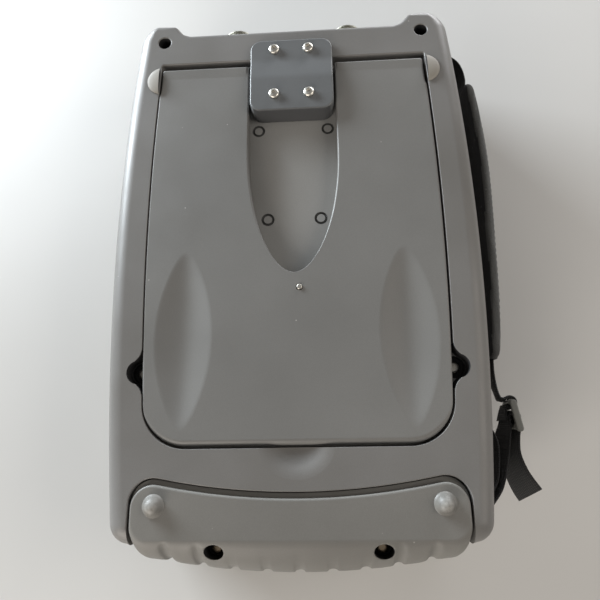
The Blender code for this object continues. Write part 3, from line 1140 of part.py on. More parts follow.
def add_loops(piece, ends):
    """Sewn loops at the ends of a strap, each round a pin or bar."""
    loops = []
    bores = []
    for x, y, pin_radius in ends:
        bore = pin_radius + RUN_GAP
        loops.append(cylinder(bore + WEB_THICKNESS, WEB_LOW + SEAT_GAP, WEB_HIGH - SEAT_GAP, x, y))
        bores.append(cylinder(bore, WEB_LOW - OVERCUT, WEB_HIGH + OVERCUT, x, y))
    carve(piece, "loops", joined(loops), "UNION")
    carve(piece, "bores", joined(bores))


pad_route = [pad_point(k / PAD_STEPS) for k in range(PAD_STEPS + 1)]
upper_pin = Vector((UPPER_PIN_X, UPPER_PIN_Y))
shoulder_y = UPPER_PIN_Y - NOTCH_HALF_HEIGHT
shoulder = Vector((side_x(CASE, shoulder_y) + PAD_OUT_TOP / 2, shoulder_y))
upper_path = smooth_path([upper_pin, shoulder] + pad_route + [UPPER_BAR], WEB_STEPS)
pad_first = 2 * WEB_STEPS
pad_last = pad_first + PAD_STEPS * WEB_STEPS
upper_run = ribbon(upper_path, WEB_THICKNESS, WEB_LOW, WEB_HIGH)
upper_web = add_piece("strap_webbing_upper", upper_run, STRAP_BLACK)
add_loops(upper_web, ((UPPER_PIN_X, UPPER_PIN_Y, PIN_RADIUS), (UPPER_BAR.x, UPPER_BAR.y, BUCKLE_BAR_RADIUS)))
pad_path = upper_path[pad_first:pad_last + 1]
sleeve = [sleeve_ring(pad_path, k) for k in range(len(pad_path))]
pad = add_piece("strap_pad", loft(sleeve), PAD_GREY)
carve(pad, "slot", ribbon(upper_path[pad_first - 1:pad_last + 2], WEB_THICKNESS + 2 * SEAT_GAP,
                          WEB_LOW - SEAT_GAP, WEB_HIGH + SEAT_GAP))

lower_pin = Vector((LOWER_PIN_X, LOWER_PIN_Y))
turn_in = LOWER_BAR - Vector((TURN_RADIUS, 0.0))
turn_out = LOWER_BAR + Vector((TURN_RADIUS, 0.0))
bend = Vector(((lower_pin.x + 2 * turn_in.x) / 3, (2 * lower_pin.y + turn_in.y) / 3))
rise = smooth_path([lower_pin, bend, turn_in], 4)
over = [Vector(point) for point in arc(LOWER_BAR.x, LOWER_BAR.y, TURN_RADIUS, 180, 0, 8)][1:-1]
tail = smooth_path([turn_out, (turn_out * 2 + TAIL_END) / 3 - Vector((TAIL_OUT / 8, 0.0)), TAIL_END], 3)
lower_run = ribbon(rise + over + tail, WEB_THICKNESS, WEB_LOW, WEB_HIGH)
lower_web = add_piece("strap_webbing_lower", lower_run, STRAP_BLACK)
add_loops(lower_web, ((LOWER_PIN_X, LOWER_PIN_Y, PIN_RADIUS),))

# Buckle: two bars between side rails
rail_axis = (UPPER_BAR - LOWER_BAR).normalized()
rail_turn = math.degrees(math.atan2(rail_axis.y, rail_axis.x))
rail = arc(LOWER_BAR.x, LOWER_BAR.y, BUCKLE_RAIL_RADIUS, rail_turn + 90, rail_turn + 270, 8)
rail += arc(UPPER_BAR.x, UPPER_BAR.y, BUCKLE_RAIL_RADIUS, rail_turn - 90, rail_turn + 90, 8)
rail_low = WEB_LOW - SEAT_GAP
rail_high = WEB_HIGH + SEAT_GAP
buckle = add_piece("strap_buckle", prism(rail, rail_high, rail_high + BUCKLE_RAIL), BUCKLE_PLASTIC)
bars = [cylinder(BUCKLE_BAR_RADIUS, rail_low - BUCKLE_RAIL / 2, rail_high + BUCKLE_RAIL / 2, bar.x, bar.y)
        for bar in (UPPER_BAR, LOWER_BAR)]
carve(buckle, "bars", joined(bars), "UNION")
carve(buckle, "low_rail", prism(rail, rail_low - BUCKLE_RAIL, rail_low), "UNION")
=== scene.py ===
# %% [markdown]
# # A handheld spectrum analyzer, lying on its face
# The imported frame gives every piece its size, its place and its joint. This lesson dresses that
# frame: it builds finer shells, soft parts and finishes round the same sizes, so nothing has to be
# fitted afterwards. All modelling is done about the middle of the case, in metres, with the back of
# the case up, and each finished mesh is then moved to where the frame holds the case.

# %% Load the frame
import json
import math

import bmesh
import bpy
from mathutils import Matrix, Vector
from mathutils.bvhtree import BVHTree

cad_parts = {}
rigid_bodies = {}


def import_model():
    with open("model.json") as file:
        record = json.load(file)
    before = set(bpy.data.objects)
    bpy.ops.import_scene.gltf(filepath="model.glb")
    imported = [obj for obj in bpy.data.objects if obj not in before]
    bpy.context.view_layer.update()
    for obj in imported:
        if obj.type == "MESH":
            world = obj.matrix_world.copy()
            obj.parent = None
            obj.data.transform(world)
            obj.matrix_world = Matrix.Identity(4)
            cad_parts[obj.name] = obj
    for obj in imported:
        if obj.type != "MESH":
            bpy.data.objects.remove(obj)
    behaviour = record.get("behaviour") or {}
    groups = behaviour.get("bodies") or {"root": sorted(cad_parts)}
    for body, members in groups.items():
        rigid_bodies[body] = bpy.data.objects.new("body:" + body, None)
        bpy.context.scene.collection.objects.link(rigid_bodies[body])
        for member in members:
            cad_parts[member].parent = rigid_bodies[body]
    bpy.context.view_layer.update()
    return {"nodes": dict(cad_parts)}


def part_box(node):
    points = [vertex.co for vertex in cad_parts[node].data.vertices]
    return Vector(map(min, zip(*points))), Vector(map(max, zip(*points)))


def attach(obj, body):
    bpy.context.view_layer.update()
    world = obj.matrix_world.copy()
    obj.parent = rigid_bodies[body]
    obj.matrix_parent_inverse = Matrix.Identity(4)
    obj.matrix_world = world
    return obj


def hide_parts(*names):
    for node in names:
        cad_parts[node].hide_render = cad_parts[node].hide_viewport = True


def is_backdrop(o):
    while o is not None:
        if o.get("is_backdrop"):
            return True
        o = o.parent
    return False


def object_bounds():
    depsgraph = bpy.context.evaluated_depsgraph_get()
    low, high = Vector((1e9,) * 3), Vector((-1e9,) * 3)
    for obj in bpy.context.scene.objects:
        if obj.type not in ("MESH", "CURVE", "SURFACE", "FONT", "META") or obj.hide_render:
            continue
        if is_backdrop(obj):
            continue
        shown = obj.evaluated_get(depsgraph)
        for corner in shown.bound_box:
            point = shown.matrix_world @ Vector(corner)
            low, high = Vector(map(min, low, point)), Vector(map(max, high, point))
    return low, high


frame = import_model()
HINGE_Y = 0.1108
shell_low, shell_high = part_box("front_shell")
rod_low, rod_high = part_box("hinge_rod")
CASE_PLACE = Vector(((shell_low.x + shell_high.x) / 2, (rod_low.y + rod_high.y) / 2 - HINGE_Y, 0.0))
print("case stands at", [round(value, 5) for value in CASE_PLACE], "with", len(frame["nodes"]), "nodes")

# %% [markdown]
# ## Camera
# The picture was taken by hand from above the lower half of the case, a little turned. The place and
# turn were worked out from the bracket screws, the case screws and the outline, so the camera is
# given as numbers and needs no constraint.

# %% Camera
CAMERA_PLACE = Vector((0.014426, -0.078411, 0.301793))
CAMERA_TURN = (14.0916, 2.7966, -1.6211)
LENS = 30.0
SENSOR = 36.0
NEAR_CLIP = 0.01

scene = bpy.context.scene
camera_data = bpy.data.cameras.new("photo_camera")
camera_data.lens = LENS
camera_data.sensor_width = SENSOR
camera_data.clip_start = NEAR_CLIP
camera = bpy.data.objects.new("photo_camera", camera_data)
camera.location = CAMERA_PLACE + CASE_PLACE
camera.rotation_mode = "ZYX"
camera.rotation_euler = [math.radians(angle) for angle in CAMERA_TURN]
scene.collection.objects.link(camera)
scene.camera = camera
print("camera at", [round(value, 4) for value in camera.location])

# %% [markdown]
# ## Light and floor
# A window to the upper left lights the real object: the left rim and the edges that face away from
# the camera glow, and the right side falls off. A bright, slightly blue softbox low on that side does
# this, and a second at the far end lights the upper edges. Two weaker warm ones to the right and in
# front stand for the lit room, and the even world light fills the rest, so that a colour renders about
# as it is written. The table is a plain pale sheet with a faint mottle.

# %% Light
SOFTBOXES = {
    "window": ((-0.74, 0.60, 0.25), (0.60, 0.26), 20.0, (0.86, 0.94, 1.0)),
    "window_far": ((0.48, 1.00, 0.18), (0.6, 0.22), 7.5, (0.97, 0.98, 1.0)),
    "room_right": ((0.75, -0.05, 0.60), (0.6, 0.5), 3.0, (1.0, 0.94, 0.86)),
    "room_front": ((-0.50, -0.85, 0.40), (0.7, 0.5), 7.5, (1.0, 0.94, 0.86)),
}
FILL_STRENGTH = 0.185
FILL_COLOUR = (1.0, 0.97, 0.93, 1.0)
AIM = (0.0, 0.0, 0.05)

scene.view_settings.view_transform = "Standard"
room = bpy.data.worlds.new("room")
room.use_nodes = True
room_light = room.node_tree.nodes["Background"]
room_light.inputs["Color"].default_value = FILL_COLOUR
room_light.inputs["Strength"].default_value = FILL_STRENGTH
scene.world = room


def softbox(name, place, size, power, colour):
    """A rectangular lamp that looks at the middle of the object."""
    lamp = bpy.data.lights.new(name, "AREA")
    lamp.shape = "RECTANGLE"
    lamp.size, lamp.size_y = size
    lamp.energy = power
    lamp.color = colour
    holder = bpy.data.objects.new(name, lamp)
    holder.location = place
    holder.rotation_euler = (Vector(AIM) - Vector(place)).to_track_quat("-Z", "Y").to_euler()
    scene.collection.objects.link(holder)


for label, setting in SOFTBOXES.items():
    softbox(label, *setting)
print("softboxes:", ", ".join(SOFTBOXES))


# %% Shader helpers
MIX_COLOUR_INPUTS = (6, 7)
MIX_COLOUR_OUTPUT = 2


def new_material(name):
    """An empty material with its tree, its Principled shader and Object coordinates."""
    made = bpy.data.materials.new(name)
    made.use_nodes = True
    tree = made.node_tree
    coordinates = tree.nodes.new("ShaderNodeTexCoord").outputs["Object"]
    return made, tree, tree.nodes["Principled BSDF"], coordinates


def noise(tree, vector, scale, detail=2.0, stretch=None):
    """Noise at a scale in cycles per metre, drawn out along an axis when a stretch is given."""
    if stretch:
        mapping = tree.nodes.new("ShaderNodeMapping")
        mapping.inputs["Scale"].default_value = stretch
        tree.links.new(vector, mapping.inputs["Vector"])
        vector = mapping.outputs["Vector"]
    made = tree.nodes.new("ShaderNodeTexNoise")
    made.inputs["Scale"].default_value = scale
    made.inputs["Detail"].default_value = detail
    tree.links.new(vector, made.inputs["Vector"])
    return made.outputs["Fac"]


def ranged(tree, value, low, high, to_low, to_high):
    """Map one range of a value to another, held at its ends."""
    made = tree.nodes.new("ShaderNodeMapRange")
    for label, number in (("From Min", low), ("From Max", high), ("To Min", to_low), ("To Max", to_high)):
        made.inputs[label].default_value = number
    tree.links.new(value, made.inputs["Value"])
    return made.outputs["Result"]


def mixed(tree, factor, first, second):
    """Mix two colours, each a socket or a plain colour."""
    made = tree.nodes.new("ShaderNodeMix")
    made.data_type = "RGBA"
    tree.links.new(factor, made.inputs["Factor"])
    for place, colour in zip(MIX_COLOUR_INPUTS, (first, second)):
        if isinstance(colour, tuple):
            made.inputs[place].default_value = (*colour, 1.0)
        else:
            tree.links.new(colour, made.inputs[place])
    return made.outputs[MIX_COLOUR_OUTPUT]


def product(tree, values):
    """Two values multiplied."""
    made = tree.nodes.new("ShaderNodeMath")
    made.operation = "MULTIPLY"
    for socket, value in zip(made.inputs, values):
        tree.links.new(value, socket)
    return made.outputs["Value"]


def cell_distance(tree, vector, scale):
    """Distance to the nearest of scattered points, at a scale in points per metre."""
    made = tree.nodes.new("ShaderNodeTexVoronoi")
    made.inputs["Scale"].default_value = scale
    tree.links.new(vector, made.inputs["Vector"])
    return made.outputs["Distance"]


def bumped(tree, shader, height, distance, strength=1.0):
    """Feed a height to the shader's normal."""
    made = tree.nodes.new("ShaderNodeBump")
    made.inputs["Distance"].default_value = distance
    made.inputs["Strength"].default_value = strength
    tree.links.new(height, made.inputs["Height"])
    tree.links.new(made.outputs["Normal"], shader.inputs["Normal"])


def shaded(colour, factor):
    """A colour made lighter or darker."""
    return tuple(channel * factor for channel in colour)


print("shader helpers ready")


# %% Floor
FLOOR_DROP = 0.0003
TABLE_HALF = 3.0
TABLE_TONES = ((0.555, 0.545, 0.53), (0.595, 0.585, 0.57))


def table_top():
    """Pale painted table."""
    made, tree, shader, place = new_material("table_top")
    cloud = ranged(tree, noise(tree, place, 5.0, 3.0), 0.3, 0.7, 0.0, 1.0)
    tree.links.new(mixed(tree, cloud, *TABLE_TONES), shader.inputs["Base Color"])
    shader.inputs["Roughness"].default_value = 0.55
    return made


bm = bmesh.new()
bmesh.ops.create_grid(bm, x_segments=4, y_segments=4, size=TABLE_HALF)
bmesh.ops.translate(bm, verts=bm.verts[:], vec=(0.0, 0.0, -FLOOR_DROP))
floor_mesh = bpy.data.meshes.new("table")
bm.to_mesh(floor_mesh)
bm.free()
floor = bpy.data.objects.new("table", floor_mesh)
floor_mesh.materials.append(table_top())
scene.collection.objects.link(floor)
floor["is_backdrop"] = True
print("table laid, half width", TABLE_HALF, "m")

# %% [markdown]
# ## Finishes for plastic, rubber and metal
# Moulded plastic is never one flat colour: it has a spark-eroded grain of a third of a millimetre, a
# slow drift of tone where hands have rubbed it, and grey specks of dust. All of these are noise on
# Object coordinates, so they keep their scale on every piece. Rubber uses the same recipe with a
# duller shader, and metal swaps the grain for fine lines drawn out along one axis.

# %% Finish recipes
DRIFT_SCALE = 14.0
GRAIN_SCALE = 2600.0
RUB_SCALE = 40.0
WEAR_SCALE = 700.0
DUST_SCALE = 85.0
DUST_GREY = (0.62, 0.60, 0.56)
LINE_SCALE = 1500.0
LINE_HEIGHT = 0.000012
SMEAR_SCALE = 260.0
NEUTRAL = (1.0, 1.0, 1.0)


def moulded(name, colour, roughness, grain=0.00004, drift=0.10, dust=0.0, cool=NEUTRAL, worn=None):
    """Grained plastic or rubber; worn gives two heights between which a paler colour rubs through."""
    made, tree, shader, place = new_material(name)
    slow = ranged(tree, noise(tree, place, DRIFT_SCALE, 4.0), 0.32, 0.68, 0.0, 1.0)
    paler = tuple(channel * (1 + drift) * tint for channel, tint in zip(colour, cool))
    body = mixed(tree, slow, shaded(colour, 1 - drift), paler)
    fine = noise(tree, place, GRAIN_SCALE, 1.0)
    body = mixed(tree, ranged(tree, fine, 0.35, 0.65, 0.0, 0.16), body, shaded(colour, 0.6))
    if worn:
        heights, tip = worn
        split = tree.nodes.new("ShaderNodeSeparateXYZ")
        tree.links.new(place, split.inputs["Vector"])
        rub = ranged(tree, split.outputs["Z"], *heights, 0.0, 1.0)
        patch = ranged(tree, noise(tree, place, WEAR_SCALE, 4.0), 0.30, 0.62, 0.25, 1.0)
        body = mixed(tree, product(tree, (rub, patch)), body, tip)
    if dust:
        speck = ranged(tree, cell_distance(tree, place, DUST_SCALE), 0.018, 0.034, dust, 0.0)
        body = mixed(tree, speck, body, DUST_GREY)
    tree.links.new(body, shader.inputs["Base Color"])
    rubbed = ranged(tree, noise(tree, place, RUB_SCALE, 3.0), 0.3, 0.7, roughness - 0.06, roughness + 0.06)
    tree.links.new(rubbed, shader.inputs["Roughness"])
    bumped(tree, shader, fine, grain)
    return made


def metal(name, colour, roughness, lines=NEUTRAL, tone=0.12):
    """Bare metal with fine lines drawn out along the axis whose stretch is small."""
    made, tree, shader, place = new_material(name)
    streak = noise(tree, place, LINE_SCALE, 3.0, lines)
    share = ranged(tree, streak, 0.3, 0.7, 0.0, 1.0)
    body = mixed(tree, share, shaded(colour, 1 - tone), shaded(colour, 1 + tone))
    tree.links.new(body, shader.inputs["Base Color"])
    shader.inputs["Metallic"].default_value = 1.0
    smear = ranged(tree, noise(tree, place, SMEAR_SCALE, 3.0), 0.3, 0.7, roughness - 0.07, roughness + 0.09)
    tree.links.new(smear, shader.inputs["Roughness"])
    bumped(tree, shader, streak, LINE_HEIGHT)
    return made


CASE_GREY = moulded("case_grey", (0.175, 0.168, 0.158), 0.42, dust=0.5, cool=(0.99, 1.0, 1.03))
# Painted shade: dark colour for the grooves cut round the plugs.
RING_PAINTED_SHADE = moulded("plug_ring_painted_shade", (0.055, 0.055, 0.053), 0.6, grain=0.00002)
# Painted light: the pocket's floor is the case plastic, coloured paler as if lit more.
FLOOR_PAINTED_LIGHT = moulded("pocket_floor_painted_light", (0.285, 0.281, 0.272), 0.42, grain=0.00002, drift=0.06, dust=0.3)
STAND_GREY = moulded("stand_grey", (0.183, 0.180, 0.173), 0.44, grain=0.00003, drift=0.07, dust=0.6)
BUMPER_GREY = moulded("bumper_grey", (0.180, 0.174, 0.162), 0.50, dust=0.4,
                      worn=((0.0706, 0.0719), (0.35, 0.34, 0.32)))
BRACKET_GREY = moulded("bracket_grey", (0.130, 0.135, 0.139), 0.40, grain=0.00002, drift=0.06)
# Painted shade: darker grey for the bracket's lower wall, which stands in shade.
BRACKET_WALL_SHADE = moulded("bracket_wall_painted_shade", (0.062, 0.063, 0.066), 0.5, grain=0.00002)
FOOT_RUBBER = moulded("foot_rubber", (0.27, 0.25, 0.22), 0.62, drift=0.12)
# The case seal's own black, also used as painted shade down screw wells and on the feet's flat sides.
SEAL_BLACK_AND_SHADE = moulded("seal_black", (0.016, 0.016, 0.017), 0.7)
BUCKLE_PLASTIC = moulded("buckle_plastic", (0.125, 0.125, 0.114), 0.45, dust=0.5)
KEY_GREY = moulded("key_grey", (0.30, 0.30, 0.29), 0.6)
POWER_GREEN = moulded("power_green", (0.05, 0.30, 0.10), 0.5)
KNOB_BLACK = moulded("knob_black", (0.035, 0.035, 0.036), 0.5)
MAT_RUBBER = moulded("mat_rubber", (0.25, 0.25, 0.25), 0.8)
MODULE_BLACK = moulded("module_black", (0.03, 0.03, 0.034), 0.4)
BATTERY_BLACK = moulded("battery_black", (0.05, 0.05, 0.054), 0.45, dust=0.3)
SCREW_STEEL = metal("screw_steel", (0.72, 0.69, 0.63), 0.38)
SCREW_BRASS = metal("screw_brass", (0.66, 0.53, 0.38), 0.30)
# Painted shade: the hinge rod is made dark so its end reads as the shadowed gap it sits in.
ROD_SHADE_STEEL = metal("rod_steel_painted_shade", (0.14, 0.14, 0.14), 0.42)
PORT_METAL = metal("port_metal", (0.32, 0.31, 0.26), 0.46, lines=(1.0, 0.1, 1.0))
PLATE_METAL = metal("plate_metal", (0.50, 0.50, 0.50), 0.42, lines=(0.04, 1.0, 1.0))
SHIELD_METAL = metal("shield_metal", (0.65, 0.65, 0.64), 0.38, lines=(0.06, 1.0, 1.0))
print("finishes ready:", len(bpy.data.materials))

# %% [markdown]
# ## Tools for shells
# A moulded shell is an outline with height, so most pieces here start as rings of points: arcs for
# the corners and a shallow bow along the sides. Bridging ring to ring gives a closed skin with clean
# quads, and lets an edge be rounded with a radius that changes along the outline, which a plain bevel
# doesn't. Pockets are cut with Booleans. The cutters flare out at their mouths, so that the edges they
# leave are rounded as a mould's edges are.

# %% Tools: outlines
CORNER_STEPS = 14
SIDE_STEPS = 48
END_STEPS = 24


def quarter(steps):
    """Angles from nothing to a right angle."""
    return [math.pi / 2 * k / steps for k in range(steps + 1)]


def arc(x, y, radius, start, end, steps=CORNER_STEPS):
    """Points along an arc, angles in degrees."""
    turns = [math.radians(start + (end - start) * k / steps) for k in range(steps + 1)]
    return [(x + radius * math.cos(turn), y + radius * math.sin(turn)) for turn in turns]


def smooth_share(value, low, high):
    """A soft step from 0 to 1."""
    share = min(1.0, max(0.0, (value - low) / (high - low)))
    return share * share * (3 - 2 * share)


def mirrored(right):
    """Close an outline whose right half runs from bottom to top."""
    return right + [(-x, y) for x, y in reversed(right)]


class Panel:
    """A plate with bowed long sides and rounded corners."""

    def __init__(self, half, bow_radius, bow_y, top, bottom, top_corner, bottom_corner, rise=0.0):
        self.half = half
        self.bow_radius = bow_radius
        self.bow_y = bow_y
        self.top = top
        self.bottom = bottom
        self.top_corner = top_corner
        self.bottom_corner = bottom_corner
        self.rise = rise

    def side_x(self, y, inset=0.0):
        """Half width at one place along the panel."""
        return self.half - inset - (y - self.bow_y) ** 2 / (2 * self.bow_radius)

    def bottom_y(self, x, inset=0.0):
        """Lower edge, which rises towards the corners."""
        return self.bottom + inset + self.rise * (x / self.half) ** 2

    def right(self, inset=0.0, top=None, steps=SIDE_STEPS, least=0.0004):
        """Right half of the outline from bottom to top, drawn in by an inset."""
        high = (self.top if top is None else top) - inset
        low_radius = max(self.bottom_corner - inset, least)
        high_radius = max(self.top_corner - inset, least)
        end_x = self.half - inset - low_radius
        tilt = math.atan(2 * self.rise * end_x / self.half ** 2)
        low_y = self.bottom_y(end_x, inset) + low_radius * math.cos(tilt)
        high_y = high - high_radius
        low_lean = math.atan((self.bow_y - low_y) / self.bow_radius)
        high_lean = math.atan((high_y - self.bow_y) / self.bow_radius)
        low_x = self.side_x(low_y, inset) - low_radius / math.cos(low_lean)
        high_x = self.side_x(high_y, inset) - high_radius / math.cos(high_lean)
        across = [low_x * (k + 0.5) / END_STEPS for k in range(END_STEPS if self.rise else 0)]
        points = [(x, self.bottom_y(x, inset)) for x in across]
        points += arc(low_x, low_y, low_radius, math.degrees(tilt) - 90, -math.degrees(low_lean))
        start, end = points[-1][1], high_y + high_radius * math.sin(high_lean)
        for k in range(1, steps):
            y = start + (end - start) * k / steps
            points.append((self.side_x(y, inset), y))
        return points + arc(high_x, high_y, high_radius, math.degrees(high_lean), 90)


def grown(outline, amounts):
    """An outline moved outward, square to its own run, by one amount or by one for each point."""
    if not isinstance(amounts, list):
        amounts = [amounts] * len(outline)
    moved = []
    for k, (x, y) in enumerate(outline):
        before, after = Vector(outline[k - 1]), Vector(outline[(k + 1) % len(outline)])
        along = (after - before).normalized()
        moved.append((x + along.y * amounts[k], y - along.x * amounts[k]))
    return moved


def at_height(outline, z):
    """An outline's points at one height."""
    return [(x, y, z) for x, y in outline]


print("an arc of", CORNER_STEPS, "steps rounds each corner")


# %% Tools: skins and cutters
ROUND_STEPS = 48
LIP_TURN = math.radians(80)
OVERCUT = 0.012


def loop(bm, points):
    """A closed loop of edges through points."""
    verts = [bm.verts.new(point) for point in points]
    return [bm.edges.new((verts[k - 1], verts[k])) for k in range(len(verts))]


def bridged(bm, rings):
    """Loops through rings of equally many points, each bridged to the next."""
    loops = [loop(bm, ring) for ring in rings]
    for lower, upper in zip(loops, loops[1:]):
        bmesh.ops.bridge_loops(bm, edges=lower + upper)
    return loops


def skin(rings):
    """Closed skin over rings, capped at both ends."""
    bm = bmesh.new()
    loops = bridged(bm, rings)
    for end in (loops[0], loops[-1]):
        bmesh.ops.contextual_create(bm, geom=end)
    bmesh.ops.recalc_face_normals(bm, faces=bm.faces[:])
    return bm


def edge_rings(outline, radii, top, steps=10):
    """Rings that round an outline's upper edge, each point by its own radius."""
    rings = []
    for turn in quarter(steps):
        plan = grown(outline, [-radius * (1 - math.cos(turn)) for radius in radii])
        rings.append([(x, y, top - radius * (1 - math.sin(turn))) for (x, y), radius in zip(plan, radii)])
    return rings


def pocket_tool(outline, floor, top, lip, floor_round=0.0006):
    """Cutter for a pocket with a rounded floor edge and a rounded mouth."""
    lips = lip if isinstance(lip, list) else [lip] * len(outline)
    rings = []
    for turn in quarter(3):
        inset = floor_round * (1 - math.sin(turn))
        rings.append(at_height(grown(outline, -inset), floor + floor_round * (1 - math.cos(turn))))
    for k in range(7):
        turn = LIP_TURN * k / 6
        plan = grown(outline, [radius * (1 - math.cos(turn)) for radius in lips])
        rings.append([(x, y, top - radius * (1 - math.sin(turn))) for (x, y), radius in zip(plan, lips)])
    reach = [radius * (1 - math.cos(LIP_TURN) + math.sin(LIP_TURN)) for radius in lips]
    rise = [radius * (math.sin(LIP_TURN) - 1 + math.cos(LIP_TURN)) for radius in lips]
    plan = grown(outline, reach)
    rings.append([(x, y, top + up) for (x, y), up in zip(plan, rise)])
    rings.append(at_height(plan, top + OVERCUT))
    return skin(rings)


def prism(outline, low, high):
    """Straight solid of an outline between two heights."""
    return skin([at_height(outline, low), at_height(outline, high)])


def turned(profile, steps=ROUND_STEPS, x=0.0, y=0.0):
    """Solid turned about an upright axis from (radius, height) points that start and end on it."""
    bm = bmesh.new()
    points = [bm.verts.new((radius, 0.0, height)) for radius, height in profile]
    for first, second in zip(points, points[1:]):
        bm.edges.new((first, second))
    bmesh.ops.spin(bm, geom=bm.verts[:] + bm.edges[:], cent=(0, 0, 0), axis=(0, 0, 1),
                   dvec=(0, 0, 0), angle=2 * math.pi, steps=steps, use_merge=True)
    bmesh.ops.remove_doubles(bm, verts=bm.verts[:], dist=1e-7)
    bmesh.ops.recalc_face_normals(bm, faces=bm.faces[:])
    bmesh.ops.translate(bm, verts=bm.verts[:], vec=(x, y, 0.0))
    return bm


def round_bar(radius, low, high, steps=ROUND_STEPS, x=0.0, y=0.0):
    """Plain round bar about an upright axis."""
    return turned([(0.0, low), (radius, low), (radius, high), (0.0, high)], steps, x, y)


def brick(x, y, z, rounding=0.0):
    """Block between three pairs of limits, with its edges rounded."""
    bm = bmesh.new()
    bmesh.ops.create_cube(bm, size=1.0)
    bmesh.ops.scale(bm, verts=bm.verts[:], vec=(x[1] - x[0], y[1] - y[0], z[1] - z[0]))
    bmesh.ops.translate(bm, verts=bm.verts[:], vec=(sum(x) / 2, sum(y) / 2, sum(z) / 2))
    if rounding:
        bmesh.ops.bevel(bm, geom=bm.edges[:], offset=rounding, segments=4, profile=0.5, affect="EDGES",
                        material=-1)
    return bm


def lay_along(bm, axis, x=0.0, y=0.0, z=0.0):
    """Lay a shape that was made about Z along X or Y instead."""
    about, angle = ("Y", math.pi / 2) if axis == "X" else ("X", -math.pi / 2)
    turn = Matrix.Rotation(angle, 4, about)
    bmesh.ops.transform(bm, verts=bm.verts[:], matrix=Matrix.Translation((x, y, z)) @ turn)
    return bm


print("a cutter's mouth turns by", round(math.degrees(LIP_TURN)), "degrees")


# %% Tools: pieces
def solid(name, bm):
    """An object of a bmesh."""
    mesh = bpy.data.meshes.new(name)
    bm.to_mesh(mesh)
    bm.free()
    made = bpy.data.objects.new(name, mesh)
    scene.collection.objects.link(made)
    return made


def evaluated_mesh(piece):
    """A mesh of the piece as its modifiers leave it."""
    graph = bpy.context.evaluated_depsgraph_get()
    return bpy.data.meshes.new_from_object(piece.evaluated_get(graph))


def carve(piece, tools, operation="DIFFERENCE"):
    """Cut tools out of a piece, or join them on, and throw the tools away."""
    helpers = [solid(f"tool_{k}", tool) for k, tool in enumerate(tools)]
    for helper in helpers:
        step = piece.modifiers.new(helper.name, "BOOLEAN")
        step.operation = operation
        step.solver = "EXACT"
        step.object = helper
    carved = evaluated_mesh(piece)
    piece.modifiers.clear()
    worn_out = [piece.data] + [helper.data for helper in helpers]
    piece.data = carved
    for helper in helpers:
        bpy.data.objects.remove(helper)
    for mesh in worn_out:
        bpy.data.meshes.remove(mesh)
    return piece


def dress(piece, finishes, body, nodes=(), pick=None, sharp=38):
    """Finish a piece, face by face where a rule picks, put it in its place and hang it on its body."""
    mesh = piece.data
    mesh.materials.clear()
    for finish in finishes:
        mesh.materials.append(finish)
    if pick:
        for face in mesh.polygons:
            face.material_index = finishes.index(pick(face))
    mesh.transform(Matrix.Translation(CASE_PLACE))
    mesh.shade_smooth()
    mesh.set_sharp_from_angle(angle=math.radians(sharp))
    even = piece.modifiers.new("even_normals", "WEIGHTED_NORMAL")
    even.keep_sharp = True
    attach(piece, body)
    if nodes:
        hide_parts(*nodes)
    mesh.calc_loop_triangles()
    print(f"{piece.name}: {len(mesh.loop_triangles)} triangles on {body}")
    return piece


# %% [markdown]
# ## Rear shell
# The back half of the case is one moulding: bowed sides, two ears that guard the coaxial ports, and a
# back edge with a soft 9 mm radius that tightens over the ears, whose tips lean in a little. It could
# be a bevelled extrusion, but the changing radius decides it: each ring is drawn in by its own point's
# radius. The pocket for the stand, with a screw well budding from each long side, the groove round the
# bumper, the finger scoop, the wells and the door openings are cut out afterwards.

# %% Rear shell: body
CASE = Panel(half=0.0936, bow_radius=1.26, bow_y=0.012, top=0.1464, bottom=-0.135,
             top_corner=0.012, bottom_corner=0.010, rise=0.007)
CASE_DEPTH = 0.067
REAR_LOW = 0.0168
BACK_EDGE = 0.009
GAP_EDGE = 0.0042
EAR_TIP_EDGE = 0.0022
EAR_TOP_EDGE = 0.0055
EAR_DRAFT = 0.0024
PANEL_Y = 0.1375
EAR_ROUND = 0.0024
EAR_FILLET = 0.006
EAR_LEAN = 60
EAR_START_X = 0.0570
EAR_STEPS = 8
GAP_TO_TIP = (0.052, 0.060)
TIP_TO_TOP = (0.0650, 0.0735)
TOP_TO_SIDE = (0.0755, 0.087)
PANEL_MARGIN = 0.0005
PARTING_ROUND = 0.0004

lean = math.radians(EAR_LEAN)
ear_rise = CASE.top - PANEL_Y - (EAR_ROUND + EAR_FILLET) * (1 - math.cos(lean))
ear_run = ear_rise / math.tan(lean)
ear_round_x = EAR_START_X + (EAR_FILLET + EAR_ROUND) * math.sin(lean) + ear_run
ear_inner = arc(ear_round_x, CASE.top - EAR_ROUND, EAR_ROUND, 90, 90 + EAR_LEAN, EAR_STEPS)
ear_inner += arc(EAR_START_X, PANEL_Y + EAR_FILLET, EAR_FILLET, EAR_LEAN - 90, -90, EAR_STEPS)
case_outline = mirrored(CASE.right() + ear_inner)


def back_edge(x, y):
    """Radius of the back edge: full along the sides, less over the ears, least on their inner tips."""
    if y < PANEL_Y - PANEL_MARGIN:
        return BACK_EDGE
    radius = GAP_EDGE + (EAR_TIP_EDGE - GAP_EDGE) * smooth_share(abs(x), *GAP_TO_TIP)
    radius += (EAR_TOP_EDGE - EAR_TIP_EDGE) * smooth_share(abs(x), *TIP_TO_TOP)
    return radius + (BACK_EDGE - EAR_TOP_EDGE) * smooth_share(abs(x), *TOP_TO_SIDE)


def drafted(x, y):
    """An outline point drawn in towards the back, as the ear's inner tip is."""
    rise = max(0.0, y - PANEL_Y) / (CASE.top - PANEL_Y)
    return x, y - EAR_DRAFT * rise * (1 - smooth_share(abs(x), *TIP_TO_TOP))


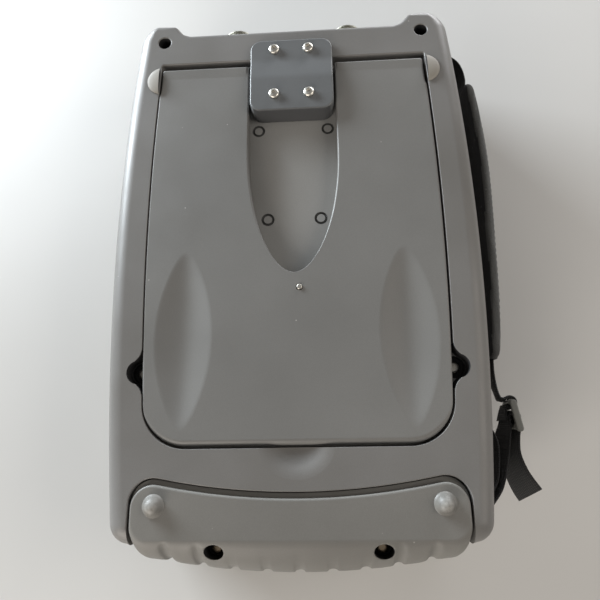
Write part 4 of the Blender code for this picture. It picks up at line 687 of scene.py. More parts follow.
edge_radii = [back_edge(x, y) for x, y in case_outline]
back_outline = [drafted(x, y) for x, y in case_outline]
shell_rings = [at_height(grown(case_outline, -PARTING_ROUND), REAR_LOW),
               at_height(case_outline, REAR_LOW + PARTING_ROUND)]
shell_rings += edge_rings(back_outline, edge_radii, CASE_DEPTH)
rear = solid("rear_cover", skin(shell_rings))
print("rear shell body:", len(rear.data.polygons), "faces")

# %% Rear shell: the stand's pocket and the cutters for the back
SHORT_OVERCUT = 0.001
SIDES = {"left": -1, "right": 1}
POCKET = Panel(half=0.0754, bow_radius=1.5, bow_y=0.022, top=0.1180, bottom=-0.0882,
               top_corner=0.0012, bottom_corner=0.0212)
POCKET_STEPS = 170
POCKET_FLOOR = 0.0595
POCKET_LIP = 0.00018
POCKET_TOP_LIP = 0.0007
POCKET_LIP_Y = (0.112, 0.118)
SIDE_SCREW = (0.07524, -0.0527)
SIDE_WELL_FLOOR = 0.0570
SIDE_WELL_RADIUS = 0.0049
SIDE_WELL_LIP = 0.0004
LOBE_REACH = 0.0065
LOBE_HALF_HEIGHT = 0.0062
LOBE_SQUARENESS = 2.6
EAR_SCREW = (0.07163, 0.1326)
EAR_WELL = (0.0036, 0.030)
PLUGS = ((0.0189, 0.0784), (0.0139, 0.0261))
PLUG_RADIUS = 0.0028
PLUG_GROOVE = 0.00065
PLUG_SINK = 0.00005
SCOOP_PLACE = (0.0, -0.0875)
SCOOP_HALF = (0.0130, 0.0108)
SCOOP_DEPTH = 0.0034
SCOOP_LIP = 0.0018
SCOOP_REST = 0.00027
WELL_FLOOR_ROUND = 0.0003


def pocket_outline():
    """The stand's pocket, with a well budding from each long side for a case screw."""
    right = []
    for x, y in POCKET.right(steps=POCKET_STEPS):
        bud = LOBE_REACH * math.exp(-abs((y - SIDE_SCREW[1]) / LOBE_HALF_HEIGHT) ** LOBE_SQUARENESS)
        right.append((x + bud, y))
    return mirrored(right)


def circle(x, y, radius, steps=ROUND_STEPS):
    """Outline of a circle."""
    return arc(x, y, radius, 0, 360, steps)[:-1]


def round_well(x, y, radius, floor, top=CASE_DEPTH, lip=0.0005):
    """Cutter for a round well with a rounded mouth."""
    return pocket_tool(circle(x, y, radius), floor, top, lip, WELL_FLOOR_ROUND)


def ball(place, size, steps=ROUND_STEPS):
    """A sphere drawn out to three half sizes."""
    bm = bmesh.new()
    bmesh.ops.create_uvsphere(bm, u_segments=steps, v_segments=steps // 2, radius=1.0)
    bmesh.ops.scale(bm, verts=bm.verts[:], vec=size)
    bmesh.ops.translate(bm, verts=bm.verts[:], vec=place)
    return bm


def dent_tool(place, half, face, depth, lip, rest=0.00003):
    """Cutter whose underside is a dent: depth is a rule over shares across and along, lip its soft edge."""
    bm = bmesh.new()
    bmesh.ops.create_grid(bm, x_segments=64, y_segments=110, size=1.4)
    for vertex in bm.verts:
        below = depth(vertex.co.x, vertex.co.y)
        vertex.co.z = face + rest - (below + math.hypot(below, lip)) / 2
    rim = [edge for edge in bm.edges if edge.is_boundary]
    walls = bmesh.ops.extrude_edge_only(bm, edges=rim)["geom"]
    tops = [item for item in walls if isinstance(item, bmesh.types.BMVert)]
    bmesh.ops.translate(bm, verts=tops, vec=(0.0, 0.0, OVERCUT))
    bmesh.ops.contextual_create(bm, geom=[edge for edge in bm.edges if edge.is_boundary])
    bmesh.ops.scale(bm, verts=bm.verts[:], vec=(half[0], half[1], 1.0))
    bmesh.ops.translate(bm, verts=bm.verts[:], vec=(place[0], place[1], 0.0))
    bmesh.ops.recalc_face_normals(bm, faces=bm.faces[:])
    return bm


def scoop_depth(across, along):
    """Finger scoop: a plain bowl."""
    return SCOOP_DEPTH * (1 - across ** 2 - along ** 2)


def along_x(outline, half):
    """Solid of a (y, z) outline, as long both ways along X."""
    return skin([[(side * half, y, z) for y, z in outline] for side in (-1, 1)])


pocket_plan = pocket_outline()
pocket_lips = [POCKET_LIP + (POCKET_TOP_LIP - POCKET_LIP) * smooth_share(y, *POCKET_LIP_Y)
               for x, y in pocket_plan]
back_tools = [pocket_tool(pocket_plan, POCKET_FLOOR, CASE_DEPTH, pocket_lips),
              dent_tool(SCOOP_PLACE, SCOOP_HALF, CASE_DEPTH, scoop_depth, SCOOP_LIP, SCOOP_REST)]
for side in SIDES.values():
    back_tools.append(round_well(side * SIDE_SCREW[0], SIDE_SCREW[1], SIDE_WELL_RADIUS, SIDE_WELL_FLOOR,
                                 POCKET_FLOOR, SIDE_WELL_LIP))
    back_tools.append(round_well(side * EAR_SCREW[0], EAR_SCREW[1], *EAR_WELL))
    for x, y in PLUGS:
        ring = arc(PLUG_RADIUS, POCKET_FLOOR - PLUG_SINK, PLUG_GROOVE, 180, 360, 8)
        ring += [(PLUG_RADIUS + reach, POCKET_FLOOR + SHORT_OVERCUT) for reach in (PLUG_GROOVE, -PLUG_GROOVE)]
        back_tools.append(turned(ring + ring[:1], ROUND_STEPS, side * x, y))
carve(rear, back_tools)
print("pocket, scoop and wells cut:", len(rear.data.polygons), "faces")

# %% Rear shell: the bumper's seat, the strap notches and the inside
BUMPER_HALF = 0.0752
BUMPER_CORNER = 0.010
BUMPER_FOOT = 0.008
BUMPER_APEX = -0.1034
BUMPER_DIP = 0.0062
BUMPER_END = -0.1442
BUMPER_ARC = 0.36
BUMPER_RIDGE = -0.1274
BUMPER_SEAT = 0.061
BUMPER_STEPS = 192
TOP_GAP = 0.0028
SIDE_GAP = 0.0011
GROOVE_LIP = 0.0005
GROOVE_FLOOR_ROUND = 0.0004
STEP_Y = -0.1305
LEDGE_Y = -0.125
LEDGE_Z = 0.0515
SKIRT_Z = 0.0228
SEAT_GAP = 0.0003
STRAP_PINS = {"upper": (0.08144, 0.1335), "lower": (0.08025, -0.1165)}
NOTCH_REACH = 0.0048
NOTCH_HALF = 0.0065
WEB_LOW = 0.0205
WEB_HIGH = 0.0455
PORT_X = 0.03235
PORT_Z = 0.046
CEILING = 0.0555
CAVITY_TOP = 0.131
CAVITY_LOW = -0.120
CAVITY_STEPS = 12
REAR_WALL = 0.004
CORNER_BLOCK = (0.06775, -0.104)
SIDE_BOSS_X = 0.06824
SIDE_BOSS_Y = (-0.0597, -0.0457)
EAR_BLOCK = (0.05803, 0.112)
PORT_HOLE = 0.0063
NOTCH_ROOM = 0.001
NOTCH_ROUND = 0.0012
CLEAR_X = 0.12
CLEAR_Y = -0.16
CLEAR_Z = 0.08
DIP_STEPS = 25


def bumper_bottom(x, slope):
    """Lower edge of the bumper: an arc at its foot, a straight ridge where it meets the back."""
    return (BUMPER_END + x * x / (2 * BUMPER_ARC)) * (1 - slope) + BUMPER_RIDGE * slope


def bumper_outline(slope=0.0, notch=None, inset=0.0, top_gap=0.0, side_gap=0.0):
    """The bumper's outline at one height, or its pocket's when gaps are given."""
    half = BUMPER_HALF + side_gap - inset
    corner = BUMPER_CORNER + side_gap - inset
    middle_x, middle_y = half - corner, BUMPER_APEX + top_gap - inset - corner
    tilt = math.atan(2 * BUMPER_DIP / middle_x)
    shoulder_x, shoulder_y = middle_x - corner * math.sin(tilt), middle_y + corner * math.cos(tilt)
    flat = half - BUMPER_FOOT
    right = []
    for k in range(BUMPER_STEPS):
        x = flat * k / BUMPER_STEPS
        right.append((x, bumper_bottom(x, slope) + inset + (notch(x) if notch else 0.0)))
    right += arc(flat, bumper_bottom(flat, slope) + inset + BUMPER_FOOT, BUMPER_FOOT, -90, 0)
    right += arc(middle_x, middle_y, corner, 0, 90 + math.degrees(tilt))
    for k in range(DIP_STEPS - 1, 0, -1):
        x = shoulder_x * k / DIP_STEPS
        right.append((x, shoulder_y - BUMPER_DIP * (1 - (x / shoulder_x) ** 2)))
    return right + [(0.0, shoulder_y - BUMPER_DIP)] + [(-x, y) for x, y in reversed(right[1:])]


def cavity_outline(wall):
    """Inside of the case, drawn in at the corner blocks and the side screw bosses."""
    right = [(CORNER_BLOCK[0], CAVITY_LOW), CORNER_BLOCK]
    right += [(CASE.side_x(y, wall), y) for y in (CORNER_BLOCK[1], SIDE_BOSS_Y[0])]
    right += [(SIDE_BOSS_X, y) for y in SIDE_BOSS_Y]
    for k in range(CAVITY_STEPS + 1):
        y = SIDE_BOSS_Y[1] + (EAR_BLOCK[1] - SIDE_BOSS_Y[1]) * k / CAVITY_STEPS
        right.append((CASE.side_x(y, wall), y))
    return mirrored(right + [EAR_BLOCK, (EAR_BLOCK[0], CAVITY_TOP)])


def strap_notch(x, y):
    """Space for a strap loop in the side of the case."""
    return brick((x - NOTCH_REACH, CLEAR_X), (y - NOTCH_HALF, y + NOTCH_HALF),
                 (WEB_LOW - NOTCH_ROOM, WEB_HIGH + NOTCH_ROOM), NOTCH_ROUND)


groove_plan = bumper_outline(top_gap=TOP_GAP, side_gap=SIDE_GAP)
stair = [(CLEAR_Y, SKIRT_Z - SEAT_GAP), (STEP_Y, SKIRT_Z - SEAT_GAP), (STEP_Y, LEDGE_Z - SEAT_GAP),
         (LEDGE_Y, LEDGE_Z - SEAT_GAP), (LEDGE_Y, CLEAR_Z), (CLEAR_Y, CLEAR_Z)]
end_tools = [pocket_tool(groove_plan, BUMPER_SEAT, CASE_DEPTH, GROOVE_LIP, GROOVE_FLOOR_ROUND),
             along_x(stair, BUMPER_HALF + SIDE_GAP),
             prism(cavity_outline(REAR_WALL), REAR_LOW - OVERCUT, CEILING)]
end_tools += [strap_notch(x, y) for x, y in STRAP_PINS.values()]
for side in SIDES.values():
    hole = round_bar(PORT_HOLE, CAVITY_TOP - OVERCUT, -CLEAR_Y)
    end_tools.append(lay_along(hole, "Y", side * PORT_X, 0.0, PORT_Z))
carve(rear, end_tools)
print("bumper seat, notches and inside cut:", len(rear.data.polygons), "faces")

# %% Rear shell: door openings, and the finished piece
DOORS = {"battery_door": (-0.0427, 0.078), "connector_door": (0.0433, 0.062)}
DOOR_AXIS_Z = 0.056
DOOR_THICKNESS = 0.0022
DOOR_HEIGHT = 0.0258
DOOR_LIP = 0.002
DOOR_GAP = 0.0004
SIDE_SHADE = (0.0062, 0.083)
SIDE_SHADE_HALF = 0.0105
SIDE_SHADE_LOW = 0.0562
EAR_SHADE = 0.0002
SHADE_DROP = 0.0012
RING_SHADE = 0.001
RING_SHADE_DROP = 0.00008
FLOOR_BAND = 0.0006
FLOOR_HALF = 0.073
FLOOR_Y = (-0.085, 0.117)


def wall_place(low_y, length):
    """Matrix from a door's own frame, X straight out, to its stretch of the left wall."""
    low = Vector((-CASE.side_x(low_y), low_y))
    high = Vector((-CASE.side_x(low_y + length), low_y + length))
    run = (high - low).normalized()
    middle = (low + high) / 2
    place = Matrix.Translation((middle.x, middle.y, DOOR_AXIS_Z))
    return place @ Matrix.Rotation(math.atan2(run.x, -run.y), 4, "Z")


def door_section(gap, reach):
    """Section of a door: a slab that hangs from a round upper edge."""
    half = DOOR_THICKNESS / 2
    low = -DOOR_HEIGHT - gap
    section = [(-DOOR_THICKNESS - gap, low), (reach, low)]
    if reach > gap:
        return section + [(reach, half + gap)] + arc(-half, 0.0, half + gap, 90, 180)
    return section + arc(-half, 0.0, half + gap, 0, 180)


def along_wall(section, half, place):
    """Solid of a door section along the wall."""
    bm = skin([[(x, side * half, z) for x, z in section] for side in (-1, 1)])
    bmesh.ops.transform(bm, verts=bm.verts[:], matrix=place)
    return bm


def rear_finish(face):
    """Painted shade: black down the screw wells and dark in the grooves round the plugs; painted light: paler
    on the pocket's floor.
    """
    x, y, z = abs(face.center.x), face.center.y, face.center.z
    side_well = POCKET.side_x(y) - SIDE_SHADE[0] < x < SIDE_SHADE[1] and z > SIDE_SHADE_LOW
    side_well = side_well and abs(y - SIDE_SCREW[1]) < SIDE_SHADE_HALF
    ear_well = math.hypot(x - EAR_SCREW[0], y - EAR_SCREW[1]) < EAR_WELL[0] + EAR_SHADE
    # Painted shade: the deep screw wells are coloured black.
    if (side_well or ear_well) and z < CASE_DEPTH - SHADE_DROP:
        return SEAL_BLACK_AND_SHADE
    from_plug = min(math.hypot(x - plug_x, y - plug_y) for plug_x, plug_y in PLUGS)
    # Painted shade: the grooves round the plugs are coloured dark.
    if z < POCKET_FLOOR - RING_SHADE_DROP and from_plug < PLUG_RADIUS + RING_SHADE:
        return RING_PAINTED_SHADE
    # Painted light: the pocket's floor is coloured paler than the case.
    if abs(z - POCKET_FLOOR) < FLOOR_BAND and x < FLOOR_HALF and FLOOR_Y[0] < y < FLOOR_Y[1]:
        return FLOOR_PAINTED_LIGHT
    return CASE_GREY


wall_tools = []
for low_y, length in DOORS.values():
    place = wall_place(low_y, length)
    wall_tools.append(along_wall(door_section(DOOR_GAP, OVERCUT), length / 2 + DOOR_GAP, place))
    way = brick((-OVERCUT, SHORT_OVERCUT), (DOOR_LIP - length / 2, length / 2 - DOOR_LIP),
                (DOOR_LIP - DOOR_HEIGHT, CEILING - SEAT_GAP - DOOR_AXIS_Z))
    bmesh.ops.transform(way, verts=way.verts[:], matrix=place)
    wall_tools.append(way)
carve(rear, wall_tools)
dress(rear, (CASE_GREY, SEAL_BLACK_AND_SHADE, FLOOR_PAINTED_LIGHT, RING_PAINTED_SHADE), "case", ["rear_shell"], rear_finish)

# %% [markdown]
# ## Stand
# The folding stand is a plate hinged along its upper edge, flush with the back when shut. Its upper
# edge is a half round about the hinge rod, so it clears the pocket as it swings; its lower corners are
# large and its foot is rounder. A wide arch is cut through it, a narrow strip along the hinge tilts up
# a little, and two leaf-shaped scoops give the fingers a grip. The scoops could be sculpted, but a leaf
# is simply a shallow field, so the cutter that made the finger scoop makes them too, with another rule
# of depth. A stand on a loose hinge never sits quite central, so its outline is moved a hair to one side.

# %% Stand: body
STAND = Panel(half=0.0748, bow_radius=1.5, bow_y=0.022, top=HINGE_Y, bottom=-0.0870,
              top_corner=0.0012, bottom_corner=0.020)
HINGE_Z = 0.0633
STAND_THICKNESS = 0.007
STAND_FACE = HINGE_Z + STAND_THICKNESS / 2
STAND_EDGE = 0.0011
STAND_FOOT_EDGE = 0.0030
STAND_FOOT_Y = (0.070, 0.084)
STRIP_Y = 0.1078
STRIP_RISE = 0.0006
FOOT_NOTCH = 0.0006
STAND_SHIFT = 0.0003
FOOT_NOTCH_Y = (0.0985, 0.1002)


def stand_outline(reach):
    """Outline of the stand, drawn in beside the upper feet."""
    right = []
    for x, y in STAND.right(0.0, HINGE_Y + reach, POCKET_STEPS):
        right.append((x - FOOT_NOTCH * smooth_share(y, *FOOT_NOTCH_Y), y))
    return [(x - STAND_SHIFT, y) for x, y in mirrored(right)]


half_thick = STAND_THICKNESS / 2
stand_rings = []
for k in range(11):
    height = half_thick * math.sin(math.pi / 2 * (k / 10 - 1))
    stand_rings.append(at_height(stand_outline(math.sqrt(half_thick ** 2 - height ** 2)), HINGE_Z + height))
stand_plan = stand_outline(half_thick)
stand_radii = [STAND_EDGE + (STAND_FOOT_EDGE - STAND_EDGE) * smooth_share(-y, *STAND_FOOT_Y)
               for x, y in stand_plan]
stand_body = skin(stand_rings + edge_rings(stand_plan, stand_radii, STAND_FACE))
bmesh.ops.bisect_plane(stand_body, geom=stand_body.verts[:] + stand_body.edges[:] + stand_body.faces[:],
                       dist=1e-7, plane_co=(0.0, STRIP_Y, 0.0), plane_no=(0.0, 1.0, 0.0))
for vertex in stand_body.verts:
    if vertex.co.z > HINGE_Z + 1e-4:
        vertex.co.z += STRIP_RISE * max(0.0, vertex.co.y - STRIP_Y) / (HINGE_Y + half_thick - STRIP_Y)
stand = solid("folding_stand", stand_body)
print("stand body:", len(stand.data.polygons), "faces")

# %% Stand: arch, grips, rod and stud
ARCH_HALF = 0.0235
ARCH_START = 0.060
ARCH_ROUND = 0.065
ARCH_SQUARENESS = 1.9
ARCH_LIP = 0.0010
ARCH_LEAST = 0.25
ARCH_LIP_Y = (0.0, 0.03)
GRIP_PLACE = (0.0543, -0.03655)
GRIP_HALF = (0.0138, 0.04225)
GRIP_DEPTH = 0.0026
GRIP_CREASE = 0.3
GRIP_LIP = 0.00016
STUD_PLACE = (0.0024, -0.0127)
STUD_RADIUS = 0.0014
STUD_DEEP = 0.004
STUD_PROUD = 0.0003
STUD_ROUND = 0.0004
STUD_LIP = 0.0002
ROD_RADIUS = 0.0019
ROD_BORE = 0.0023
ROD_HALF = STAND.side_x(HINGE_Y) - 0.0065

arch_plan = []
power = 2 / ARCH_SQUARENESS
for x, y in arc(0.0, 0.0, 1.0, 180, 360, 72):
    arch_x = math.copysign(abs(x) ** power, x) * ARCH_HALF
    arch_plan.append((arch_x, ARCH_START - abs(y) ** power * ARCH_ROUND))
arch_plan += [(ARCH_HALF, HINGE_Y + OVERCUT), (-ARCH_HALF, HINGE_Y + OVERCUT)]
arch_lips = [ARCH_LIP * (ARCH_LEAST + (1 - ARCH_LEAST) * smooth_share(y, *ARCH_LIP_Y)) for x, y in arch_plan]


def grip_depth(across, along):
    """Finger grip: a parabola along its length, less a soft V across."""
    spread = math.hypot(1.0, GRIP_CREASE) - GRIP_CREASE
    return GRIP_DEPTH * (1 - along ** 2 - (math.hypot(across, GRIP_CREASE) - GRIP_CREASE) / spread)


def at_hinge(radius, half, steps=ROUND_STEPS):
    """Round bar on the hinge's axis, as long both ways."""
    return lay_along(round_bar(radius, -half, half, steps), "X", 0.0, HINGE_Y, HINGE_Z)


stud_floor = STAND_FACE - STUD_DEEP - SEAT_GAP
stand_tools = [pocket_tool(arch_plan, HINGE_Z - OVERCUT, STAND_FACE, arch_lips), at_hinge(ROD_BORE, ROD_HALF),
               round_well(*STUD_PLACE, STUD_RADIUS + SEAT_GAP, stud_floor, STAND_FACE, STUD_LIP)]
for side in SIDES.values():
    grip_place = (side * GRIP_PLACE[0], GRIP_PLACE[1])
    stand_tools.append(dent_tool(grip_place, GRIP_HALF, STAND_FACE, grip_depth, GRIP_LIP))
carve(stand, stand_tools)
dress(stand, [STAND_GREY], "stand", ["stand_plate"])
# Painted shade: the rod's dark steel stands in for the shadow in the gap.
rod = solid("hinge_pin", at_hinge(ROD_RADIUS, ROD_HALF - SEAT_GAP, 32))
dress(rod, [ROD_SHADE_STEEL], "stand", ["hinge_rod"])
stud_profile = [(0.0, STAND_FACE - STUD_DEEP), (STUD_RADIUS, STAND_FACE - STUD_DEEP)]
stud_profile += [(STUD_RADIUS, STAND_FACE + STUD_PROUD)]
stud_profile += arc(STUD_RADIUS - STUD_ROUND, STAND_FACE + STUD_PROUD, STUD_ROUND, 0, 90, 4)
stud_profile.append((0.0, STAND_FACE + STUD_PROUD + STUD_ROUND))
stud = solid("stud", turned(stud_profile, 32, *STUD_PLACE))
dress(stud, [SCREW_STEEL], "stand", ["catch_stud"])

# %% [markdown]
# ## Hinge bracket
# A thick moulded bracket clamps the hinge rod. Its top is level over the rod, then slopes down to a
# thin flange screwed to the back. A beam with that profile would need its corners rounded in two
# directions, so the plan comes first: rounded-rectangle rings whose points take their height from the
# profile, drawn in over the last 0.9 mm to soften the rim, with strips across for the top. The lower
# wall looks darker on the real one because it stands in shade, so it has a darker finish: painted shade.

# %% Hinge bracket
BRACKET_HALF = 0.0224
BRACKET_Y = (0.0835, 0.1284)
BRACKET_LOW = 0.0598
BRACKET_TOP = 0.071
FLANGE_TOP = 0.0696
SLOPE_Y = (0.1040, 0.1150)
FLANGE_SEAT = (0.1177, 0.0673)
BRACKET_CORNER = 0.006
BRACKET_RIM = 0.0009
BRACKET_STEPS = 60
BRACKET_HOLE = 0.0018
BEND_STEPS = 9
BEND_SOFT = 0.0004
BRACKET_SCREW_X = 0.0093
BRACKET_SCREW_ROWS = ((0.1218, FLANGE_TOP), (0.0929, BRACKET_TOP))
BRACKET_SCREWS = [(side * BRACKET_SCREW_X, y, seat) for y, seat in BRACKET_SCREW_ROWS
                  for side in SIDES.values()]
BRACKET_CLEAR = 0.03
BRACKET_CLEAR_Y = 0.14
BRACKET_CLEAR_Z = 0.05


def bracket_height(y):
    """Top of the bracket, its two bends softened."""
    total = 0.0
    for k in range(BEND_STEPS):
        near = y + (k - BEND_STEPS // 2) * BEND_SOFT
        share = min(1.0, max(0.0, (near - SLOPE_Y[0]) / (SLOPE_Y[1] - SLOPE_Y[0])))
        total += BRACKET_TOP + (FLANGE_TOP - BRACKET_TOP) * share
    return total / BEND_STEPS


def bracket_finish(face):
    """Painted shade: darker on the lower wall."""
    lower_wall = face.normal.y < -0.75 and face.center.y < BRACKET_Y[0] + BRACKET_CORNER
    return BRACKET_WALL_SHADE if lower_wall else BRACKET_GREY


corner_x = BRACKET_HALF - BRACKET_CORNER
corner_y = (BRACKET_Y[0] + BRACKET_CORNER, BRACKET_Y[1] - BRACKET_CORNER)
bracket_right = [(BRACKET_HALF * share, BRACKET_Y[0]) for share in (0.25, 0.5)]
bracket_right += arc(corner_x, corner_y[0], BRACKET_CORNER, -90, 0, 10)
for k in range(1, BRACKET_STEPS):
    bracket_right.append((BRACKET_HALF, corner_y[0] + (corner_y[1] - corner_y[0]) * k / BRACKET_STEPS))
bracket_right += arc(corner_x, corner_y[1], BRACKET_CORNER, 0, 90, 10)
bracket_right += [(BRACKET_HALF * share, BRACKET_Y[1]) for share in (0.5, 0.25)]
bracket_plan = mirrored(bracket_right)
bracket_rings = [at_height(bracket_plan, BRACKET_LOW)]
for turn in quarter(6):
    plan = grown(bracket_plan, -BRACKET_RIM * (1 - math.cos(turn)))
    drop = BRACKET_RIM * (1 - math.sin(turn))
    bracket_rings.append([(x, y, bracket_height(y) - drop) for x, y in plan])
bm = bmesh.new()
loops = bridged(bm, bracket_rings)
bmesh.ops.contextual_create(bm, geom=loops[0])
half_count = len(bracket_right)
bmesh.ops.bridge_loops(bm, edges=loops[-1][1:half_count] + loops[-1][half_count + 1:])
bmesh.ops.recalc_face_normals(bm, faces=bm.faces[:])
bracket = solid("bracket_cover", bm)
under_flange = brick((-BRACKET_CLEAR, BRACKET_CLEAR), (FLANGE_SEAT[0], BRACKET_CLEAR_Y),
                     (BRACKET_CLEAR_Z, FLANGE_SEAT[1]))
bracket_tools = [under_flange, at_hinge(ROD_BORE, BRACKET_CLEAR)]
for x, y, seat in BRACKET_SCREWS:
    bracket_tools.append(prism(circle(x, y, BRACKET_HOLE, 24), BRACKET_CLEAR_Z, CLEAR_Z))
carve(bracket, bracket_tools)
dress(bracket, (BRACKET_GREY, BRACKET_WALL_SHADE), "case", ["hinge_bracket"], bracket_finish)

# %% [markdown]
# ## Bumper
# The lower end wears a separate rubbery bumper: a lip over the back, a long slope down to the end, a
# row of small scallops along its foot and two domes it stands on. It is skinned from rings that slide
# from the foot's arc to the straight ridge; each scallop is a soft dent that fades as the rings rise,
# slowly at the corners and quickly in the middle. A thin flange round the lip sits lower, in the case's
# groove. The domes have a small skirt, so they run into the lip without a hard line.

# %% Bumper: body
BUMPER_HIGH = 0.0675
SLOPE_HEIGHT = 0.0225
SLOPE_TURN = math.radians(70)
BUMPER_RIM = 0.0012
NOTCH_PITCH = 0.01485
NOTCH_WIDTH = 0.0023
NOTCH_DEPTH = 0.0014
NOTCH_SOFT = 0.12
NOTCHES = 5
END_NOTCHES = 2
END_FADE = 1.1
MIDDLE_FADE = 3.0
BUMPER_FLUTES = {3: 0.0010, 4: 0.0018}
FLUTE_WIDTH = 0.0034
SKIRT_CLEAR = 0.01
FOOT_EDGE = 0.001
SLOPE_STEPS = 14
RIM_STEPS = 6


def scallops(slope):
    """Depth of the row of dents at one share of the slope."""
    def depth(x):
        total = 0.0
        for k in range(NOTCHES):
            fade = (1 - slope) ** (END_FADE if k >= NOTCHES - END_NOTCHES else MIDDLE_FADE)
            bowl = 1 - ((x - k * NOTCH_PITCH) / NOTCH_WIDTH) ** 2
            total += NOTCH_DEPTH * fade * math.sqrt((bowl + math.hypot(bowl, NOTCH_SOFT)) / 2)
        for k, deep in BUMPER_FLUTES.items():
            width = FLUTE_WIDTH * (1 - 0.5 * slope)
            total += deep * slope * (1 - slope) * 4 * math.exp(-((x - k * NOTCH_PITCH) / width) ** 2)
        return total
    return depth


def slope_ring(turn):
    """Share of the slope and height at one turn of its arc."""
    share = (1 - math.cos(turn)) / (1 - math.cos(SLOPE_TURN))
    return share, BUMPER_HIGH - SLOPE_HEIGHT * (1 - math.sin(turn) / math.sin(SLOPE_TURN))


bumper_rings = []
for turn in quarter(3):
    plan = bumper_outline(0.0, scallops(0.0), FOOT_EDGE * (1 - math.sin(turn)))
    bumper_rings.append(at_height(plan, SKIRT_Z + FOOT_EDGE * (1 - math.cos(turn))))
rim_turn = math.asin(math.sin(SLOPE_TURN) * (1 - BUMPER_RIM / SLOPE_HEIGHT))
turns = [SLOPE_TURN * k / SLOPE_STEPS for k in range(SLOPE_STEPS + 1)]
turns = [turn for turn in turns if turn < rim_turn]
turns += [rim_turn + (SLOPE_TURN - rim_turn) * k / RIM_STEPS for k in range(RIM_STEPS + 1)]
for turn in turns:
    share, height = slope_ring(turn)
    edge = max(0.0, height - (BUMPER_HIGH - BUMPER_RIM))
    inset = BUMPER_RIM - math.sqrt(max(0.0, BUMPER_RIM ** 2 - edge ** 2))
    bumper_rings.append(at_height(bumper_outline(share, scallops(share), inset), height))
bumper = solid("end_bumper", skin(bumper_rings))
inner_stair = [(STEP_Y - SEAT_GAP, SKIRT_CLEAR), (STEP_Y - SEAT_GAP, LEDGE_Z), (LEDGE_Y - SEAT_GAP, LEDGE_Z),
               (LEDGE_Y - SEAT_GAP, BUMPER_SEAT + SEAT_GAP), (0.0, BUMPER_SEAT + SEAT_GAP),
               (0.0, SKIRT_CLEAR)]
carve(bumper, [along_x(inner_stair, CLEAR_X)])
print("bumper body:", len(bumper.data.polygons), "faces")


# %% Bumper: domes, flange and wells
FLANGE_HIGH = 0.0647
FLANGE_GAP = 0.0005
FLANGE_RINGS = ((BUMPER_SEAT + 0.0004, 0.0), (FLANGE_HIGH - 0.0005, 0.0), (FLANGE_HIGH - 0.00015, 0.00015),
                (FLANGE_HIGH, 0.0005))
DOME_PLACE = (0.0644, -0.1123)
DOME_RADIUS = 0.0043
DOME_HEIGHT = 0.0045
DOME_SKIRT = 0.0008
DOME_FADE = 0.0006
DOME_STEPS = 16
DOME_ROOT = 0.003
BUMPER_WELL = (0.0373, -0.132, 0.054)
WELL_HALF = (0.0044, 0.0035)
WELL_LIP = 0.0006
WELL_SHADE = 0.0002
RIM_BAND = 0.0007


def slope_height(x, y):
    """Height of the bumper's upper side over one place."""
    if y > BUMPER_RIDGE:
        return BUMPER_HIGH
    low, high = 0.0, SLOPE_TURN
    for k in range(30):
        middle = (low + high) / 2
        if bumper_bottom(x, slope_ring(middle)[0]) < y:
            low = middle
        else:
            high = middle
    return slope_ring(low)[1]


def bumper_finish(face):
    """Painted shade: black down the screw wells."""
    x, y, z = face.center
    across = (abs(x) - BUMPER_WELL[0]) / (WELL_HALF[0] + WELL_SHADE)
    along = (y - BUMPER_WELL[1]) / (WELL_HALF[1] + WELL_SHADE)
    inside = math.hypot(across, along) < 1 and BUMPER_WELL[2] - 1e-4 < z < slope_height(x, y) - RIM_BAND
    return SEAL_BLACK_AND_SHADE if inside else BUMPER_GREY


dome = [(0.0, BUMPER_HIGH - DOME_ROOT), (DOME_RADIUS + DOME_SKIRT, BUMPER_HIGH - DOME_ROOT)]
for k, turn in enumerate(quarter(DOME_STEPS)):
    rise = math.sin(turn)
    skirt = DOME_SKIRT * math.exp(-rise * DOME_HEIGHT / DOME_FADE) if k < DOME_STEPS else 0.0
    dome.append((DOME_RADIUS * math.sqrt(1 - rise ** 2) + skirt, BUMPER_HIGH + DOME_HEIGHT * rise))
raised = [turned(dome, ROUND_STEPS, side * DOME_PLACE[0], DOME_PLACE[1]) for side in SIDES.values()]
flange_rings = []
for height, inset in FLANGE_RINGS:
    plan = bumper_outline(1.0, None, inset, TOP_GAP - FLANGE_GAP, SIDE_GAP - FLANGE_GAP)
    flange_rings.append(at_height(plan, height))
carve(bumper, raised + [skin(flange_rings)], "UNION")
well_tools = []
for side in SIDES.values():
    plan = [(side * BUMPER_WELL[0] + WELL_HALF[0] * x, BUMPER_WELL[1] + WELL_HALF[1] * y)
            for x, y in circle(0, 0, 1)]
    well = pocket_tool(plan, BUMPER_WELL[2], BUMPER_HIGH, WELL_LIP, WELL_FLOOR_ROUND)
    for vertex in well.verts:
        if vertex.co.z > BUMPER_HIGH - RIM_BAND:
            vertex.co.z += slope_height(vertex.co.x, vertex.co.y) - BUMPER_HIGH
    well_tools.append(well)
carve(bumper, well_tools)
dress(bumper, (BUMPER_GREY, SEAL_BLACK_AND_SHADE), "case", ["bottom_bumper"], bumper_finish)

# %% [markdown]
# ## Feet and screws
# Two half-moon rubber feet sit beside the hinge: half an ellipsoid, cut flat where the stand swings, the
# flat painted black as shade, darker than the dome. The screws are pan heads with a six-lobed recess.
# One turned profile serves all ten; the recess is a small wavy outline, cut in.

# %% Feet
FOOT_SIZE = (0.0083, 0.0083, 0.0018)
FOOT_Y = 0.1075
FOOT_Z = CASE_DEPTH + SEAT_GAP
FOOT_FLAT = POCKET.side_x(FOOT_Y) + SEAT_GAP
FOOT_MIDDLE = FOOT_FLAT - 0.0016

